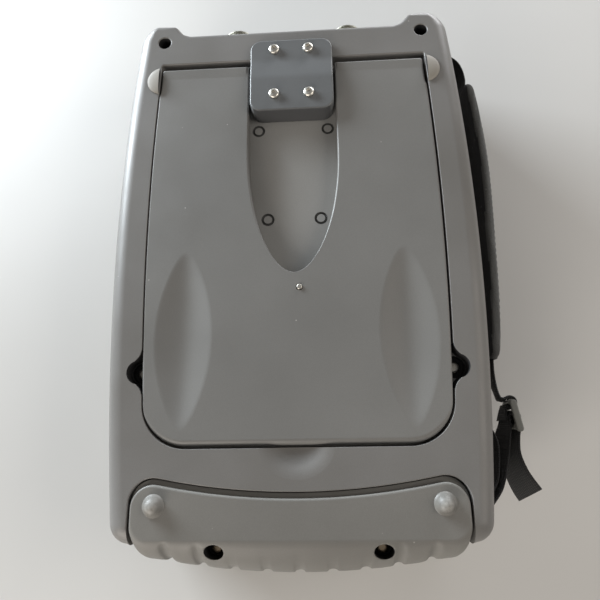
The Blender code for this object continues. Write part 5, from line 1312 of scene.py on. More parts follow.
for label, side in SIDES.items():
    foot = ball((side * FOOT_MIDDLE, FOOT_Y, FOOT_Z), FOOT_SIZE)
    for point, normal in (((0, 0, FOOT_Z), (0, 0, -1)), ((side * FOOT_FLAT, 0, 0), (-side, 0, 0))):
        cut = bmesh.ops.bisect_plane(foot, geom=foot.verts[:] + foot.edges[:] + foot.faces[:], dist=1e-7,
                                     plane_co=point, plane_no=normal, clear_outer=True)
        edges = [item for item in cut["geom_cut"] if isinstance(item, bmesh.types.BMEdge)]
        bmesh.ops.contextual_create(foot, geom=edges)
    # Painted shade: each foot's flat side, towards the stand, is coloured black.
    dress(solid(f"half_moon_foot_{label}", foot), (FOOT_RUBBER, SEAL_BLACK_AND_SHADE), "case",
          [f"upper_foot_{label}"], lambda face: SEAL_BLACK_AND_SHADE if face.normal.x * side < -0.9 else FOOT_RUBBER)


# %% Screws
HEAD_RADIUS = 0.0028
HEAD_HEIGHT = 0.0017
HEAD_WALL = 0.0006
HEAD_SOFT = 0.0001
HEAD_ROUNDNESS = 0.6
SHANK_RADIUS = 0.0015
RECESS_RADIUS = 0.00110
RECESS_WAVE = 0.00022
RECESS_DEPTH = 0.0005
RECESS_LOBES = 6
RECESS_STEPS = 36
BRACKET_SCREW_END = 0.0568
CASE_SCREW_END = 0.0092
BUMPER_SCREW_END = 0.0455


def screw_head(place, label, x, y, seat, end, finish=SCREW_STEEL):
    """Pan-head screw with a six-lobed recess, head down on its seat."""
    low = seat + SEAT_GAP
    wall = low + HEAD_WALL
    high = low + HEAD_HEIGHT
    profile = [(0.0, end), (SHANK_RADIUS, end), (SHANK_RADIUS, low), (HEAD_RADIUS - HEAD_SOFT, low)]
    profile += [(HEAD_RADIUS, low + HEAD_SOFT), (HEAD_RADIUS, wall)]
    for turn in quarter(8)[1:-1]:
        radius = HEAD_RADIUS * math.cos(turn) ** HEAD_ROUNDNESS
        profile.append((radius, wall + (high - wall) * math.sin(turn)))
    piece = solid(f"{place}_bolt_{label}", turned(profile + [(0.0, high)], 32, x, y))
    star = []
    for k in range(RECESS_STEPS):
        turn = 2 * math.pi * k / RECESS_STEPS
        reach = RECESS_RADIUS + RECESS_WAVE * math.cos(RECESS_LOBES * turn)
        star.append((x + reach * math.cos(turn), y + reach * math.sin(turn)))
    carve(piece, [prism(star, high - RECESS_DEPTH, high + SHORT_OVERCUT)])
    dress(piece, [finish], "case", [f"{place}_screw_{label}"])


for k, (x, y, seat) in enumerate(BRACKET_SCREWS):
    screw_head("bracket", k + 1, x, y, seat, BRACKET_SCREW_END)
for label, side in SIDES.items():
    screw_head("ear", label, side * EAR_SCREW[0], EAR_SCREW[1], EAR_WELL[1], CASE_SCREW_END)
    screw_head("side", label, side * SIDE_SCREW[0], SIDE_SCREW[1], SIDE_WELL_FLOOR, CASE_SCREW_END)
    screw_head("bumper", label, side * BUMPER_WELL[0], *BUMPER_WELL[1:], BUMPER_SCREW_END, SCREW_BRASS)

# %% [markdown]
# ## Coaxial ports and their plate
# Two threaded coaxial sockets stand on a thin metal plate between the ears. Everything on a socket is
# round, so one profile is turned about its axis: the tail inside the case, the flange, the thread drawn
# as rings, the bore and the pin at its floor. The pin is gilt and the bore's floor is white insulator.

# %% Coaxial ports and their plate
PORT_Y = 0.1397
PORT_END = 0.150
PORT_BORE_FLOOR = 0.141
PORT_FLANGE = 0.010
PORT_BARREL = 0.0088
PORT_BORE = 0.0043
PORT_PIN = 0.0015
PORT_PIN_TIP = 0.0011
PORT_PIN_END = 0.1448
PORT_TAIL = 0.006
PORT_TAIL_Y = 0.1255
PORT_SOFT = 0.0003
TAIL_SOFT = 0.0002
RIM_SOFT = 0.0006
BORE_SOFT = 0.0005
PIN_TAPER = 0.0006
FLANGE_END = 0.142
THREAD_START = 0.1430
THREAD_TURNS = 5
RIM_Y = (0.1485, 0.1489, 0.1494)
THREAD_PITCH = 0.00106
THREAD_DEPTH = 0.0006
PLATE_HALF = 0.05505
PLATE_Y = (0.1378, 0.1394)
PLATE_Z = (0.024, 0.060)
PLATE_SOFT = 0.0004
PLATE_HOLE_Y = (0.13, 0.145)
PIN_GILT = metal("pin_gilt", (0.72, 0.52, 0.22), 0.28)
INSULATOR = moulded("insulator", (0.62, 0.61, 0.58), 0.5, grain=0.00001)


def port_profile():
    """Half section of a socket, from its tail to the tip of its pin."""
    profile = [(0.0, PORT_TAIL_Y), (PORT_TAIL - TAIL_SOFT, PORT_TAIL_Y)]
    profile.append((PORT_TAIL, PORT_TAIL_Y + TAIL_SOFT))
    profile += [(PORT_TAIL, PORT_Y), (PORT_FLANGE - PORT_SOFT, PORT_Y), (PORT_FLANGE, PORT_Y + PORT_SOFT)]
    profile += [(PORT_FLANGE, FLANGE_END - PORT_SOFT), (PORT_FLANGE - PORT_SOFT, FLANGE_END)]
    root = PORT_BARREL - THREAD_DEPTH
    profile += [(root, FLANGE_END), (root, THREAD_START - TAIL_SOFT)]
    for k in range(THREAD_TURNS):
        for radius, share in ((root, 0.0), (PORT_BARREL, 0.35), (PORT_BARREL, 0.5), (root, 0.85)):
            profile.append((radius, THREAD_START + (k + share) * THREAD_PITCH))
    profile += [(root, RIM_Y[0]), (PORT_BARREL, RIM_Y[1]), (PORT_BARREL, RIM_Y[2])]
    profile += [(PORT_BARREL - RIM_SOFT, PORT_END), (PORT_BORE + BORE_SOFT, PORT_END)]
    profile += [(PORT_BORE, PORT_END - BORE_SOFT), (PORT_BORE, PORT_BORE_FLOOR), (PORT_PIN, PORT_BORE_FLOOR)]
    profile += [(PORT_PIN, PORT_PIN_END - PIN_TAPER), (PORT_PIN_TIP, PORT_PIN_END), (0.0, PORT_PIN_END)]
    return profile


def port_finish(face):
    """White insulator at the bore's floor, a gilt pin, plain metal elsewhere."""
    reach = math.hypot(abs(face.center.x) - PORT_X, face.center.z - PORT_Z)
    if reach < PORT_BORE and abs(face.center.y - PORT_BORE_FLOOR) < 1e-5:
        return INSULATOR
    return PIN_GILT if reach < PORT_PIN + 1e-4 and face.center.y > PORT_BORE_FLOOR else PORT_METAL


plate_holes = []
for label, side in SIDES.items():
    socket = lay_along(turned(port_profile(), 64), "Y", side * PORT_X, 0.0, PORT_Z)
    dress(solid(f"coax_socket_{label}", socket), (PORT_METAL, PIN_GILT, INSULATOR), "case",
          [f"rf_port_{label}"], port_finish)
    plate_holes.append(lay_along(round_bar(PORT_HOLE, *PLATE_HOLE_Y), "Y", side * PORT_X, 0.0, PORT_Z))
plate = solid("connector_panel", brick((-PLATE_HALF, PLATE_HALF), PLATE_Y, PLATE_Z, PLATE_SOFT))
carve(plate, plate_holes)
dress(plate, [PLATE_METAL], "case", ["connector_plate"])

# %% [markdown]
# ## Doors
# Two small doors in the left wall swing out on pins at their upper edge: one over the battery, one over
# the sockets. Each is a section pushed along the wall, with its ends drawn in a little, a sunk panel so
# that it doesn't look like a plain slab, and a thumb notch at the lower edge to pull it by.

# %% Doors
DOOR_SOFT = 0.0003
DOOR_PANEL_MARGIN = 0.0038
DOOR_PANEL_DEPTH = 0.0005
DOOR_PANEL_LOW = DOOR_PANEL_MARGIN * 1.9
DOOR_PANEL_ROUND = 0.0004
DOOR_CLEAR = 0.01
DOOR_PIN = (0.0007, 0.0012)
DOOR_PIN_ROOT = 0.002
THUMB_PROUD = 0.0004
THUMB_HALF = (0.0011, 0.0085, 0.0045)

for name, (low_y, length) in DOORS.items():
    section = door_section(0.0, 0.0)
    half = length / 2
    ends = [(-half, -DOOR_SOFT), (-half + DOOR_SOFT, 0.0), (half - DOOR_SOFT, 0.0), (half, -DOOR_SOFT)]
    door = solid(f"{name}_panel", skin([[(x, y, z) for x, z in grown(section, grow)] for y, grow in ends]))
    sunk = brick((-DOOR_PANEL_DEPTH, DOOR_CLEAR), (DOOR_PANEL_MARGIN - half, half - DOOR_PANEL_MARGIN),
                 (DOOR_PANEL_LOW - DOOR_HEIGHT, -DOOR_PANEL_MARGIN), DOOR_PANEL_ROUND)
    thumb = ball((THUMB_PROUD, 0.0, -DOOR_HEIGHT), THUMB_HALF, 32)
    carve(door, [sunk, thumb])
    pins = []
    for side in SIDES.values():
        low, high = sorted((side * (half - DOOR_PIN_ROOT), side * (half + DOOR_PIN[1])))
        pins.append(lay_along(round_bar(DOOR_PIN[0], low, high, 24), "Y", -DOOR_THICKNESS / 2, 0.0, 0.0))
    carve(door, pins, "UNION")
    door.data.transform(wall_place(low_y, length))
    dress(door, [CASE_GREY], name, [name])

# %% [markdown]
# ## Front shell
# The case lies on this half, so the picture shows only its edge, but a reusable part needs its face.
# The body is rings again, with a soft 5 mm edge. Everything that opens towards the viewer of the face is
# cut with the same pocket tool as the back, turned upside down: the sunk face, the window's seat, the
# key holes and the dish round the knob.

# %% Front shell: body, face and inside
FRONT_HIGH = 0.0152
FRONT_EDGE = 0.005
FACE_INSET = 0.012
FACE_CORNER = 0.003
FACE_RECESS = 0.002
FACE_LIP = (0.0006, 0.0005)
PANE_LIP = (0.0003, 0.0002)
FACE_INNER = 0.005
BLOCK_INNER = 0.0088
BLOCK_CLEAR = BLOCK_INNER + 0.003
WINDOW = (0.067, 0.0065, 0.1065)
WINDOW_LIP = 0.003
WINDOW_CORNER = 0.0015
MODULE_CORNER = 0.001
WINDOW_THICK = 0.0014
MODULE_LIP = 0.006
FRONT_WALL = 0.004
BLOCK_WALL = 0.008
RIM_FLOOR = 0.012


def flipped(bm):
    """A cutter turned upside down, so that it opens towards the face."""
    bmesh.ops.scale(bm, verts=bm.verts[:], vec=(1.0, 1.0, -1.0))
    bmesh.ops.recalc_face_normals(bm, faces=bm.faces[:])
    return bm


def rounded(half, low, high, corner, x=0.0, y=0.0, steps=6):
    """Rectangle about x, between two limits along y, with rounded corners."""
    right = arc(half - corner, low + corner, corner, -90, 0, steps)
    right += arc(half - corner, high - corner, corner, 0, 90, steps)
    return [(x + px, y + py) for px, py in mirrored(right)]


def window_plan(grow, corner=WINDOW_CORNER):
    """The window's outline, grown all round."""
    return rounded(WINDOW[0] + grow, WINDOW[1] - grow, WINDOW[2] + grow, corner)


front_rings = []
for turn in quarter(8):
    plan = mirrored(CASE.right(FRONT_EDGE * (1 - math.sin(turn))))
    front_rings.append(at_height(plan, FRONT_EDGE * (1 - math.cos(turn))))
front_rings.append(at_height(mirrored(CASE.right()), FRONT_HIGH - PARTING_ROUND))
front_rings.append(at_height(mirrored(CASE.right(PARTING_ROUND)), FRONT_HIGH))
front = solid("front_cover", skin(front_rings))
face_plan = mirrored(CASE.right(FACE_INSET, least=FACE_CORNER))
pane_seat = -FACE_RECESS - WINDOW_THICK - SEAT_GAP
carve(front, [flipped(pocket_tool(face_plan, -FACE_RECESS, 0.0, *FACE_LIP)),
              flipped(pocket_tool(window_plan(WINDOW_LIP), pane_seat, -FACE_RECESS, *PANE_LIP)),
              prism(window_plan(0.0), 0.0, BLOCK_INNER + SHORT_OVERCUT),
              prism(window_plan(MODULE_LIP, MODULE_CORNER), FACE_INNER, BLOCK_CLEAR),
              prism(cavity_outline(BLOCK_WALL), BLOCK_INNER, FRONT_HIGH + OVERCUT),
              prism(cavity_outline(FRONT_WALL), RIM_FLOOR, FRONT_HIGH + OVERCUT)])
print("front shell body:", len(front.data.polygons), "faces")

# %% Front shell: keys' holes, the knob's dish, and the finished piece
KNOB_PLACE = (0.034, -0.0595)
KNOB_DISH = (0.0225, 0.0098)
KNOB_BOSS = (0.0255, 0.0128)
KEY_SIZE = (0.017, 0.012)
SOFTKEY_TALL = 0.009
KEY_PITCH = (0.021, 0.017)
KEY_CORNER = 0.002
KEY_CORNER_LOSS = 0.0012
KEY_LIP = (0.0003, 0.0001)
KEY_RUN = 0.0004
KEY_FIELD = 0.0032
SOFTKEYS = 6
SOFTKEY_X = 0.0525
SOFTKEY_Y = -0.0105
DIGIT_Y = -0.0315
DIGIT_X = -0.0105
DIGIT_ROWS = (("7", "8", "9"), ("4", "5", "6"), ("1", "2", "3"), ("point", "0", "sign"))
LABELS = {"point": ".", "sign": "+/-"}
POWER_PLACE = (0.022, -0.0995)
KNOB_STEPS = 96
STEM_HOLE = 0.0034
DISH_ROUND = 0.0006
DISH_LIP = 0.0012
DISH_MOUTH = ((DISH_LIP, -0.0004), (0.0006, 0.0002), (0.0002, 0.0007), (0.0, 0.0012))

keys = {}
for k in range(SOFTKEYS):
    keys[f"softkey_{k + 1}"] = (SOFTKEY_X - k * KEY_PITCH[0], SOFTKEY_Y, KEY_SIZE[0], SOFTKEY_TALL, "")
for row, names in enumerate(DIGIT_ROWS):
    for column, label in enumerate(names):
        keys[f"key_{label}"] = (DIGIT_X - column * KEY_PITCH[0], DIGIT_Y - row * KEY_PITCH[1], *KEY_SIZE,
                                LABELS.get(label, label))
keys["power_key"] = (*POWER_PLACE, KEY_SIZE[1], KEY_SIZE[1], "")


def key_plan(x, y, wide, tall, grow):
    """Outline of a key, grown or drawn in."""
    corner = KEY_CORNER + max(grow, -KEY_CORNER_LOSS)
    return rounded(wide / 2 + grow, -tall / 2 - grow, tall / 2 + grow, corner, x, y)


wide_reach, tall_reach, soft_reach = [size / 2 + KEY_FIELD + SEAT_GAP for size in (*KEY_SIZE, SOFTKEY_TALL)]
field_x = SOFTKEY_X + wide_reach
field_low = POWER_PLACE[1] - tall_reach
field_high = SOFTKEY_Y + soft_reach
power_x = POWER_PLACE[0] + tall_reach
power_y = POWER_PLACE[1] + tall_reach
digit_x = DIGIT_X + wide_reach
split_y = SOFTKEY_Y - soft_reach
key_field = [(-field_x, field_low), (power_x, field_low), (power_x, power_y), (digit_x, power_y),
             (digit_x, split_y), (field_x, split_y), (field_x, field_high), (-field_x, field_high)]
face_tools = [prism(key_field, FACE_INNER, BLOCK_CLEAR)]
for x, y, wide, tall, label in keys.values():
    hole = key_plan(x, y, wide, tall, KEY_RUN)
    face_tools.append(flipped(pocket_tool(hole, -BLOCK_INNER, -FACE_RECESS, *KEY_LIP)))
for x, y in (EAR_SCREW, SIDE_SCREW):
    for side in SIDES.values():
        face_tools.append(prism(circle(side * x, y, BRACKET_HOLE, 24), BLOCK_INNER, FRONT_HIGH + OVERCUT))
carve(front, face_tools)
boss_radius, boss_top = KNOB_BOSS
carve(front, [round_bar(boss_radius, FACE_INNER, boss_top, KNOB_STEPS, *KNOB_PLACE)], "UNION")
dish_radius, dish_floor = KNOB_DISH
dish = [(0.0, -OVERCUT), (dish_radius + DISH_LIP, -OVERCUT)]
dish += [(dish_radius + out, FACE_RECESS + up) for out, up in DISH_MOUTH]
dish += [(dish_radius, dish_floor - DISH_ROUND), (dish_radius - DISH_ROUND, dish_floor)]
dish += [(STEM_HOLE, dish_floor), (STEM_HOLE, boss_top + OVERCUT), (0.0, boss_top + OVERCUT)]
carve(front, [turned(dish, KNOB_STEPS, *KNOB_PLACE)])
dress(front, [CASE_GREY], "case", ["front_shell"])

# %% [markdown]
# ## Window, keys and knob
# The window is a thin dark pane with a printed black border. Insetting its face could make the border,
# but at the small corners the inset crosses itself, so the pane is skinned over rings and the innermost
# face takes a second finish. A key is a stack of rounded rectangles with a slightly domed cap; its
# numeral is a text turned to mesh and laid on the cap. The knob is turned, then its side verts are drawn
# in to make flutes, and a ball cuts the finger dimple.

# %% Window
BORDER_BLACK = moulded("border_black", (0.012, 0.012, 0.013), 0.12, grain=0.000002, drift=0.05)
SCREEN_GLASS = moulded("screen_glass", (0.055, 0.062, 0.058), 0.10, grain=0.000002, drift=0.06)
PANE_BORDER = 0.0072
PANE_SOFT = 0.0002

pane_grow = WINDOW_LIP - SEAT_GAP
pane = skin([at_height(window_plan(pane_grow - PANE_BORDER), FACE_RECESS),
             at_height(window_plan(pane_grow - PANE_SOFT), FACE_RECESS),
             at_height(window_plan(pane_grow), FACE_RECESS + PANE_SOFT),
             at_height(window_plan(pane_grow), FACE_RECESS + WINDOW_THICK)])


def pane_finish(face):
    """Glass on the one big face towards the viewer, black elsewhere."""
    return SCREEN_GLASS if face.normal.z < -0.9 and len(face.vertices) > 8 else BORDER_BLACK


dress(solid("display_pane", pane), (BORDER_BLACK, SCREEN_GLASS), "case", ["display_window"],
      pane_finish)

# %% Keys
KEY_FACE = 0.0008
KEY_DOME = 0.0003
KEY_FLANGE = 0.0012
KEY_FLANGE_Z = (0.0053, 0.0064)
LABEL_SIZE = 0.0074
LABEL_RAISE = 0.00005
LABEL_INK = moulded("label_ink", (0.78, 0.78, 0.75), 0.55, grain=0.000002, drift=0.04)
KEY_RINGS = ((KEY_FACE - KEY_DOME, -0.0022), (KEY_FACE - KEY_DOME * 0.8, -0.0012), (KEY_FACE, -0.0005),
             (KEY_FACE + 0.0002, -0.0002), (KEY_FACE + 0.0006, 0.0), (KEY_FLANGE_Z[0], 0.0),
             (KEY_FLANGE_Z[0], KEY_FLANGE), (KEY_FLANGE_Z[1], KEY_FLANGE))


def numeral(text, x, y):
    """Flat letters on a key's cap, to be read from the front."""
    words = bpy.data.curves.new("numeral", "FONT")
    words.body, words.size, words.extrude = text, LABEL_SIZE, LABEL_RAISE
    words.align_x, words.align_y = "CENTER", "CENTER"
    words.resolution_u = 4
    holder = bpy.data.objects.new("numeral", words)
    scene.collection.objects.link(holder)
    mesh = evaluated_mesh(holder)
    bpy.data.objects.remove(holder)
    mesh.transform(Matrix.Translation((x, y, KEY_FACE - KEY_DOME)) @ Matrix.Rotation(math.pi, 4, "Y"))
    return mesh


for name, (x, y, wide, tall, label) in keys.items():
    cap = skin([at_height(key_plan(x, y, wide, tall, grow), z) for z, grow in KEY_RINGS])
    plain = len(cap.faces)
    if label:
        mesh = numeral(label, x, y)
        cap.from_mesh(mesh)
        bpy.data.meshes.remove(mesh)
    finishes = (POWER_GREEN if name == "power_key" else KEY_GREY, LABEL_INK)
    dress(solid(f"{name}_cap", cap), finishes, name, [name], lambda face: finishes[face.index >= plain])

# %% Knob
KNOB_RADIUS = 0.019
KNOB_GRIP = 0.017
KNOB_Z = (0.0012, 0.0095)
KNOB_STEM = (0.003, 0.016)
KNOB_SOFT = 0.0015
KNOB_BELT = 0.0055
KNOB_CHAMFER = 0.0005
STEM_CHAMFER = 0.0003
KNOB_FLUTES = 24
FLUTE_DEPTH = 0.0008
DIMPLE_PLACE = (KNOB_PLACE[0], KNOB_PLACE[1] + 0.0105, KNOB_Z[0] - 0.0016)
DIMPLE_SIZE = (0.0048, 0.0048, 0.0030)

knob_profile = [(0.0, KNOB_Z[0]), (KNOB_GRIP - KNOB_SOFT, KNOB_Z[0])]
knob_profile += arc(KNOB_GRIP - KNOB_SOFT, KNOB_Z[0] + KNOB_SOFT, KNOB_SOFT, -90, -30, 5)[1:]
knob_profile += [(KNOB_RADIUS - 0.0002, KNOB_Z[0] + 0.0023), (KNOB_RADIUS, KNOB_Z[0] + 0.003)]
knob_profile += [(KNOB_RADIUS, KNOB_BELT), (KNOB_RADIUS, KNOB_Z[1] - KNOB_CHAMFER)]
knob_profile += [(KNOB_RADIUS - KNOB_CHAMFER, KNOB_Z[1])]
knob_profile += [(KNOB_STEM[0], KNOB_Z[1]), (KNOB_STEM[0], KNOB_STEM[1] - STEM_CHAMFER)]
knob_profile += [(KNOB_STEM[0] - STEM_CHAMFER, KNOB_STEM[1]), (0.0, KNOB_STEM[1])]
knob = turned(knob_profile, KNOB_FLUTES * 8)
for vertex in knob.verts:
    reach = math.hypot(vertex.co.x, vertex.co.y)
    if reach > KNOB_GRIP + FLUTE_DEPTH and vertex.co.z < KNOB_Z[1] - 0.001:
        wave = (0.5 + 0.5 * math.cos(KNOB_FLUTES * math.atan2(vertex.co.y, vertex.co.x))) ** 3
        vertex.co.x *= 1 - FLUTE_DEPTH * wave / reach
        vertex.co.y *= 1 - FLUTE_DEPTH * wave / reach
bmesh.ops.translate(knob, verts=knob.verts[:], vec=(*KNOB_PLACE, 0.0))
knob = carve(solid("dial", knob), [ball(DIMPLE_PLACE, DIMPLE_SIZE)])
dress(knob, [KNOB_BLACK], "knob", ["tuning_knob"])

# %% [markdown]
# ## Hand strap: webbing
# A woven strap runs along the right side, from a pin in the upper corner to a pin in the lower one. It
# stands on edge, so it is drawn as a path in plan: round the pin, out over the shoulder, through the
# sleeve and round the buckle's bar, with its end folded back below it. A flat section with round
# selvedges is carried along the path and bridged. Each vertex keeps how far along and across the strap
# it lies, and the weave is drawn on that, so it follows every bend.

# %% Webbing: weave
WEAVE_RIB = 0.0011


def woven(name, colour, rib):
    """Webbing: crosswise ribs and lengthwise yarns on the strap's own coordinates."""
    made, tree, shader, place = new_material(name)
    strap = tree.nodes.new("ShaderNodeUVMap")
    strap.uv_map = "weave"
    bands = []
    for direction, period in (("X", rib), ("Y", rib * 1.5)):
        band = tree.nodes.new("ShaderNodeTexWave")
        band.bands_direction = direction
        band.inputs["Scale"].default_value = math.pi / 10 / period
        band.inputs["Distortion"].default_value = 0.6
        tree.links.new(strap.outputs["UV"], band.inputs["Vector"])
        bands.append(band.outputs["Fac"])
    both = product(tree, bands)
    fuzz = ranged(tree, noise(tree, place, 900.0, 3.0), 0.3, 0.7, 0.0, 0.25)
    body = mixed(tree, both, shaded(colour, 0.55), shaded(colour, 1.3))
    tree.links.new(mixed(tree, fuzz, body, shaded(colour, 1.7)), shader.inputs["Base Color"])
    shader.inputs["Roughness"].default_value = 0.85
    shader.inputs["Sheen Weight"].default_value = 0.08
    bumped(tree, shader, both, 0.0002)
    return made


WEBBING = woven("webbing", (0.0085, 0.0085, 0.009), WEAVE_RIB)
print("weave ready, a rib every", WEAVE_RIB * 1000, "mm")


# %% Webbing: ribbons
WEB_THICK = 0.0016
WEB_MIDDLE = 0.033
WEB_HALF = 0.0125
LOOP_RADIUS = 0.0032
BAR_LOOP = 0.0027
UPPER_BAR = Vector((0.104605, -0.0688))
SHOULDER = ((0.0905, 0.1330), (0.0957, 0.1287), (0.0985, 0.1230), (0.0996, 0.1160))
PAD_ROUTE = ((0.0994, 0.1105), (0.1010, 0.0990), (0.1027, 0.0800), (0.1036, 0.0620), (0.1036, 0.0450),
             (0.1029, 0.0250), (0.1020, 0.0), (0.1005, -0.0250), (0.0983, -0.0475))
BUCKLE_RUN = ((0.0980, -0.0560), (0.0986, -0.0630), (0.0998, -0.0668))
FOLD_END = ((0.1019, -0.0735), (0.1021, -0.0778))
SEWN_END = ((0.0945, -0.0825), (0.0961, -0.0870), (0.0964, -0.0930), (0.0950, -0.1036), (0.0925, -0.1092),
            (0.08875, -0.1125))
LOWER_RUN = ((0.0912, -0.1161), (0.0963, -0.1092), (0.0993, -0.1003), (0.1018, -0.0895), (0.1033, -0.0810))
BUCKLE_TURN = Vector((0.1058, -0.0760))
TAIL_RUN = ((0.1080, -0.0810), (0.1066, -0.0870), (0.1059, -0.0950), (0.1077, -0.1031), (0.1102, -0.1089),
            (0.11315, -0.11375))
TAIL_SLANT = Vector((0.00115, 0.00425))
TAIL_SLANT_FROM = 0.66
STRAP_LEAN = 0.0065
LEAN_Y = (0.045, 0.064, 0.090)
SEWN_START = Vector((0.0085, -0.0038))
UPPER_WRAP = (-70, -265)
BAR_WRAP = (150, -150)
LOWER_WRAP = (95, 290)
TURN_RADIUS = 0.0025


def smooth_path(points, steps):
    """A smooth run through points in plan."""
    points = [Vector(point) for point in points]
    run = []
    for k in range(len(points) - 1):
        before, start = points[max(k - 1, 0)], points[k]
        end, after = points[k + 1], points[min(k + 2, len(points) - 1)]
        bend = 2 * before - 5 * start + 4 * end - after
        twist = 3 * start - before - 3 * end + after
        for step in range(steps):
            t = step / steps
            run.append((2 * start + (end - before) * t + bend * t * t + twist * t ** 3) / 2)
    return run + [points[-1]]


def turn_about(middle, radius, start, end):
    """Points round a pin or bar, angles in degrees."""
    return [Vector(point) for point in arc(middle[0], middle[1], radius, start, end, 20)]


def squared(steps, across_power, through_power):
    """Shares across and through a flat section, an oval whose powers below one make it squarer."""
    section = []
    for k in range(steps):
        x, y = math.cos(2 * math.pi * k / steps), math.sin(2 * math.pi * k / steps)
        section.append((math.copysign(abs(x) ** across_power, x), math.copysign(abs(y) ** through_power, y)))
    return section


def leaned(bm):
    """Let the strap hang outward at its lower edge round the buckle."""
    for vertex in bm.verts:
        share = smooth_share(-vertex.co.y, *LEAN_Y[:2]) * (1 - smooth_share(-vertex.co.y, *LEAN_Y[1:]))
        vertex.co.x += STRAP_LEAN * share * (WEB_HIGH - vertex.co.z) / (WEB_HIGH - WEB_LOW)
    return bm


def ribbon(path, slant=Vector((0.0, 0.0)), slant_from=0.0):
    """Webbing along a path, its width upright; slant drags its edges apart towards a cut end."""
    marks, rings, run = [], [], 0.0
    for k, point in enumerate(path):
        along = (path[min(k + 1, len(path) - 1)] - path[max(k - 1, 0)]).normalized()
        run += (point - path[k - 1]).length if k else 0.0
        drag = slant * smooth_share(k / (len(path) - 1), slant_from, 1.0)
        ring = []
        for across, through in squared(28, 0.4, 0.6):
            place = point + Vector((along.y, -along.x)) * through * WEB_THICK / 2 + drag * across
            ring.append((place.x, place.y, WEB_MIDDLE + across * WEB_HALF))
            marks.append((run, across * WEB_HALF))
        rings.append(ring)
    bm = skin(rings)
    bm.verts.index_update()
    weave = bm.loops.layers.uv.new("weave")
    for face in bm.faces:
        for corner in face.loops:
            corner[weave].uv = marks[corner.vert.index]
    return leaned(bm)


upper_pin, lower_pin = Vector(STRAP_PINS["upper"]), Vector(STRAP_PINS["lower"])
upper_path = [upper_pin + SEWN_START] + turn_about(upper_pin, LOOP_RADIUS, *UPPER_WRAP)
upper_path += smooth_path(SHOULDER + PAD_ROUTE + BUCKLE_RUN, 8)
upper_path += turn_about(UPPER_BAR, BAR_LOOP, *BAR_WRAP) + smooth_path(FOLD_END, 6)
upper_web = solid("strap_upper", ribbon(upper_path))
dress(upper_web, [WEBBING], "case", ["strap_webbing_upper"])
lower_path = smooth_path(SEWN_END, 6) + turn_about(lower_pin, LOOP_RADIUS, *LOWER_WRAP)
lower_path += smooth_path(LOWER_RUN, 8) + turn_about(BUCKLE_TURN, TURN_RADIUS, 180, 0)
lower_path += smooth_path(TAIL_RUN, 8)
lower_web = solid("strap_lower", ribbon(lower_path, TAIL_SLANT, TAIL_SLANT_FROM))
dress(lower_web, [WEBBING], "case", ["strap_webbing_lower"])

# %% [markdown]
# ## Hand strap: padded sleeve
# The middle of the strap wears a padded sleeve, sewn along its edges and closed at its ends. A section
# carried along the path gives a plain cushion; the fullness and the small puckers come from a short
# cloth simulation, with the seams held and air pressing from inside. How far it may swell is capped, so
# the sleeve keeps the size that the frame gives it. The side towards the case, in shade, is coloured black:
# painted shade.

# %% Padded sleeve: cloth
def fabric(name, colour, cell):
    """Close woven cloth with a faint rib and lint."""
    made, tree, shader, place = new_material(name)
    yarn = cell_distance(tree, place, 1 / cell)
    slow = ranged(tree, noise(tree, place, 30.0, 4.0), 0.3, 0.7, 0.0, 1.0)
    body = mixed(tree, slow, shaded(colour, 0.85), shaded(colour, 1.15))
    body = mixed(tree, ranged(tree, yarn, 0.1, 0.8, 0.0, 0.5), body, shaded(colour, 0.45))
    lint = ranged(tree, noise(tree, place, 420.0, 5.0), 0.66, 0.78, 0.0, 0.5)
    tree.links.new(mixed(tree, lint, body, (0.25, 0.25, 0.24)), shader.inputs["Base Color"])
    shader.inputs["Roughness"].default_value = 0.9
    shader.inputs["Sheen Weight"].default_value = 0.12
    bumped(tree, shader, yarn, 0.00015)
    return made


SLEEVE_CLOTH = fabric("sleeve_cloth", (0.092, 0.092, 0.089), 0.00055)
# Painted shade: near-black cloth for the side of the sleeve towards the case.
SLEEVE_PAINTED_SHADE = fabric("sleeve_painted_shade", (0.016, 0.016, 0.018), 0.0005)
print("sleeve cloths ready")


# %% Padded sleeve: plain shape
PAD_HALF = 0.019
PAD_THICK = 0.0064
PAD_DRAW_IN = 0.0010
PAD_SECTION = 36
PAD_SQUARENESS = 0.45
PAD_END = 0.010
PAD_END_SHARE = 0.80
PAD_END_ROUND = 0.0045


def path_frame(path, k):
    """Direction across a path in plan, away from the case."""
    along = (path[min(k + 1, len(path) - 1)] - path[max(k - 1, 0)]).normalized()
    return Vector((-along.y, along.x))


def sleeve():
    """Plain sleeve: a full section that thins towards its rounded ends."""
    rings = []
    reach = [0.0]
    for first, second in zip(pad_path, pad_path[1:]):
        reach.append(reach[-1] + (second - first).length)
    for k, point in enumerate(pad_path):
        end = min(reach[k], reach[-1] - reach[k])
        share = reach[k] / reach[-1]
        thick = PAD_THICK * (PAD_END_SHARE + (1 - PAD_END_SHARE) * smooth_share(end, 0.0, PAD_END))
        rounding = max(0.0, 1 - end / PAD_END_ROUND)
        half = PAD_HALF - PAD_DRAW_IN * 4 * share * (1 - share)
        half -= PAD_END_ROUND * (1 - math.sqrt(1 - rounding ** 2))
        ring = []
        for through, up in squared(PAD_SECTION, PAD_SQUARENESS, PAD_SQUARENESS):
            place = point + path_frame(pad_path, k) * through * thick / 2
            ring.append((place.x, place.y, WEB_MIDDLE + half * up))
        rings.append(ring)
    return skin(rings)


pad_path = smooth_path(PAD_ROUTE, 8)
pad = solid("strap_sleeve", sleeve())
print("plain sleeve:", len(pad.data.polygons), "faces")


# %% Padded sleeve: swelling
PAD_VOXEL = 0.0017
PAD_PRESSURE = 4.0
PAD_FRAMES = 20
PAD_SWELL = 0.0007
SEAM_IN = 0.0012
SEAM_WIDE = 0.0016


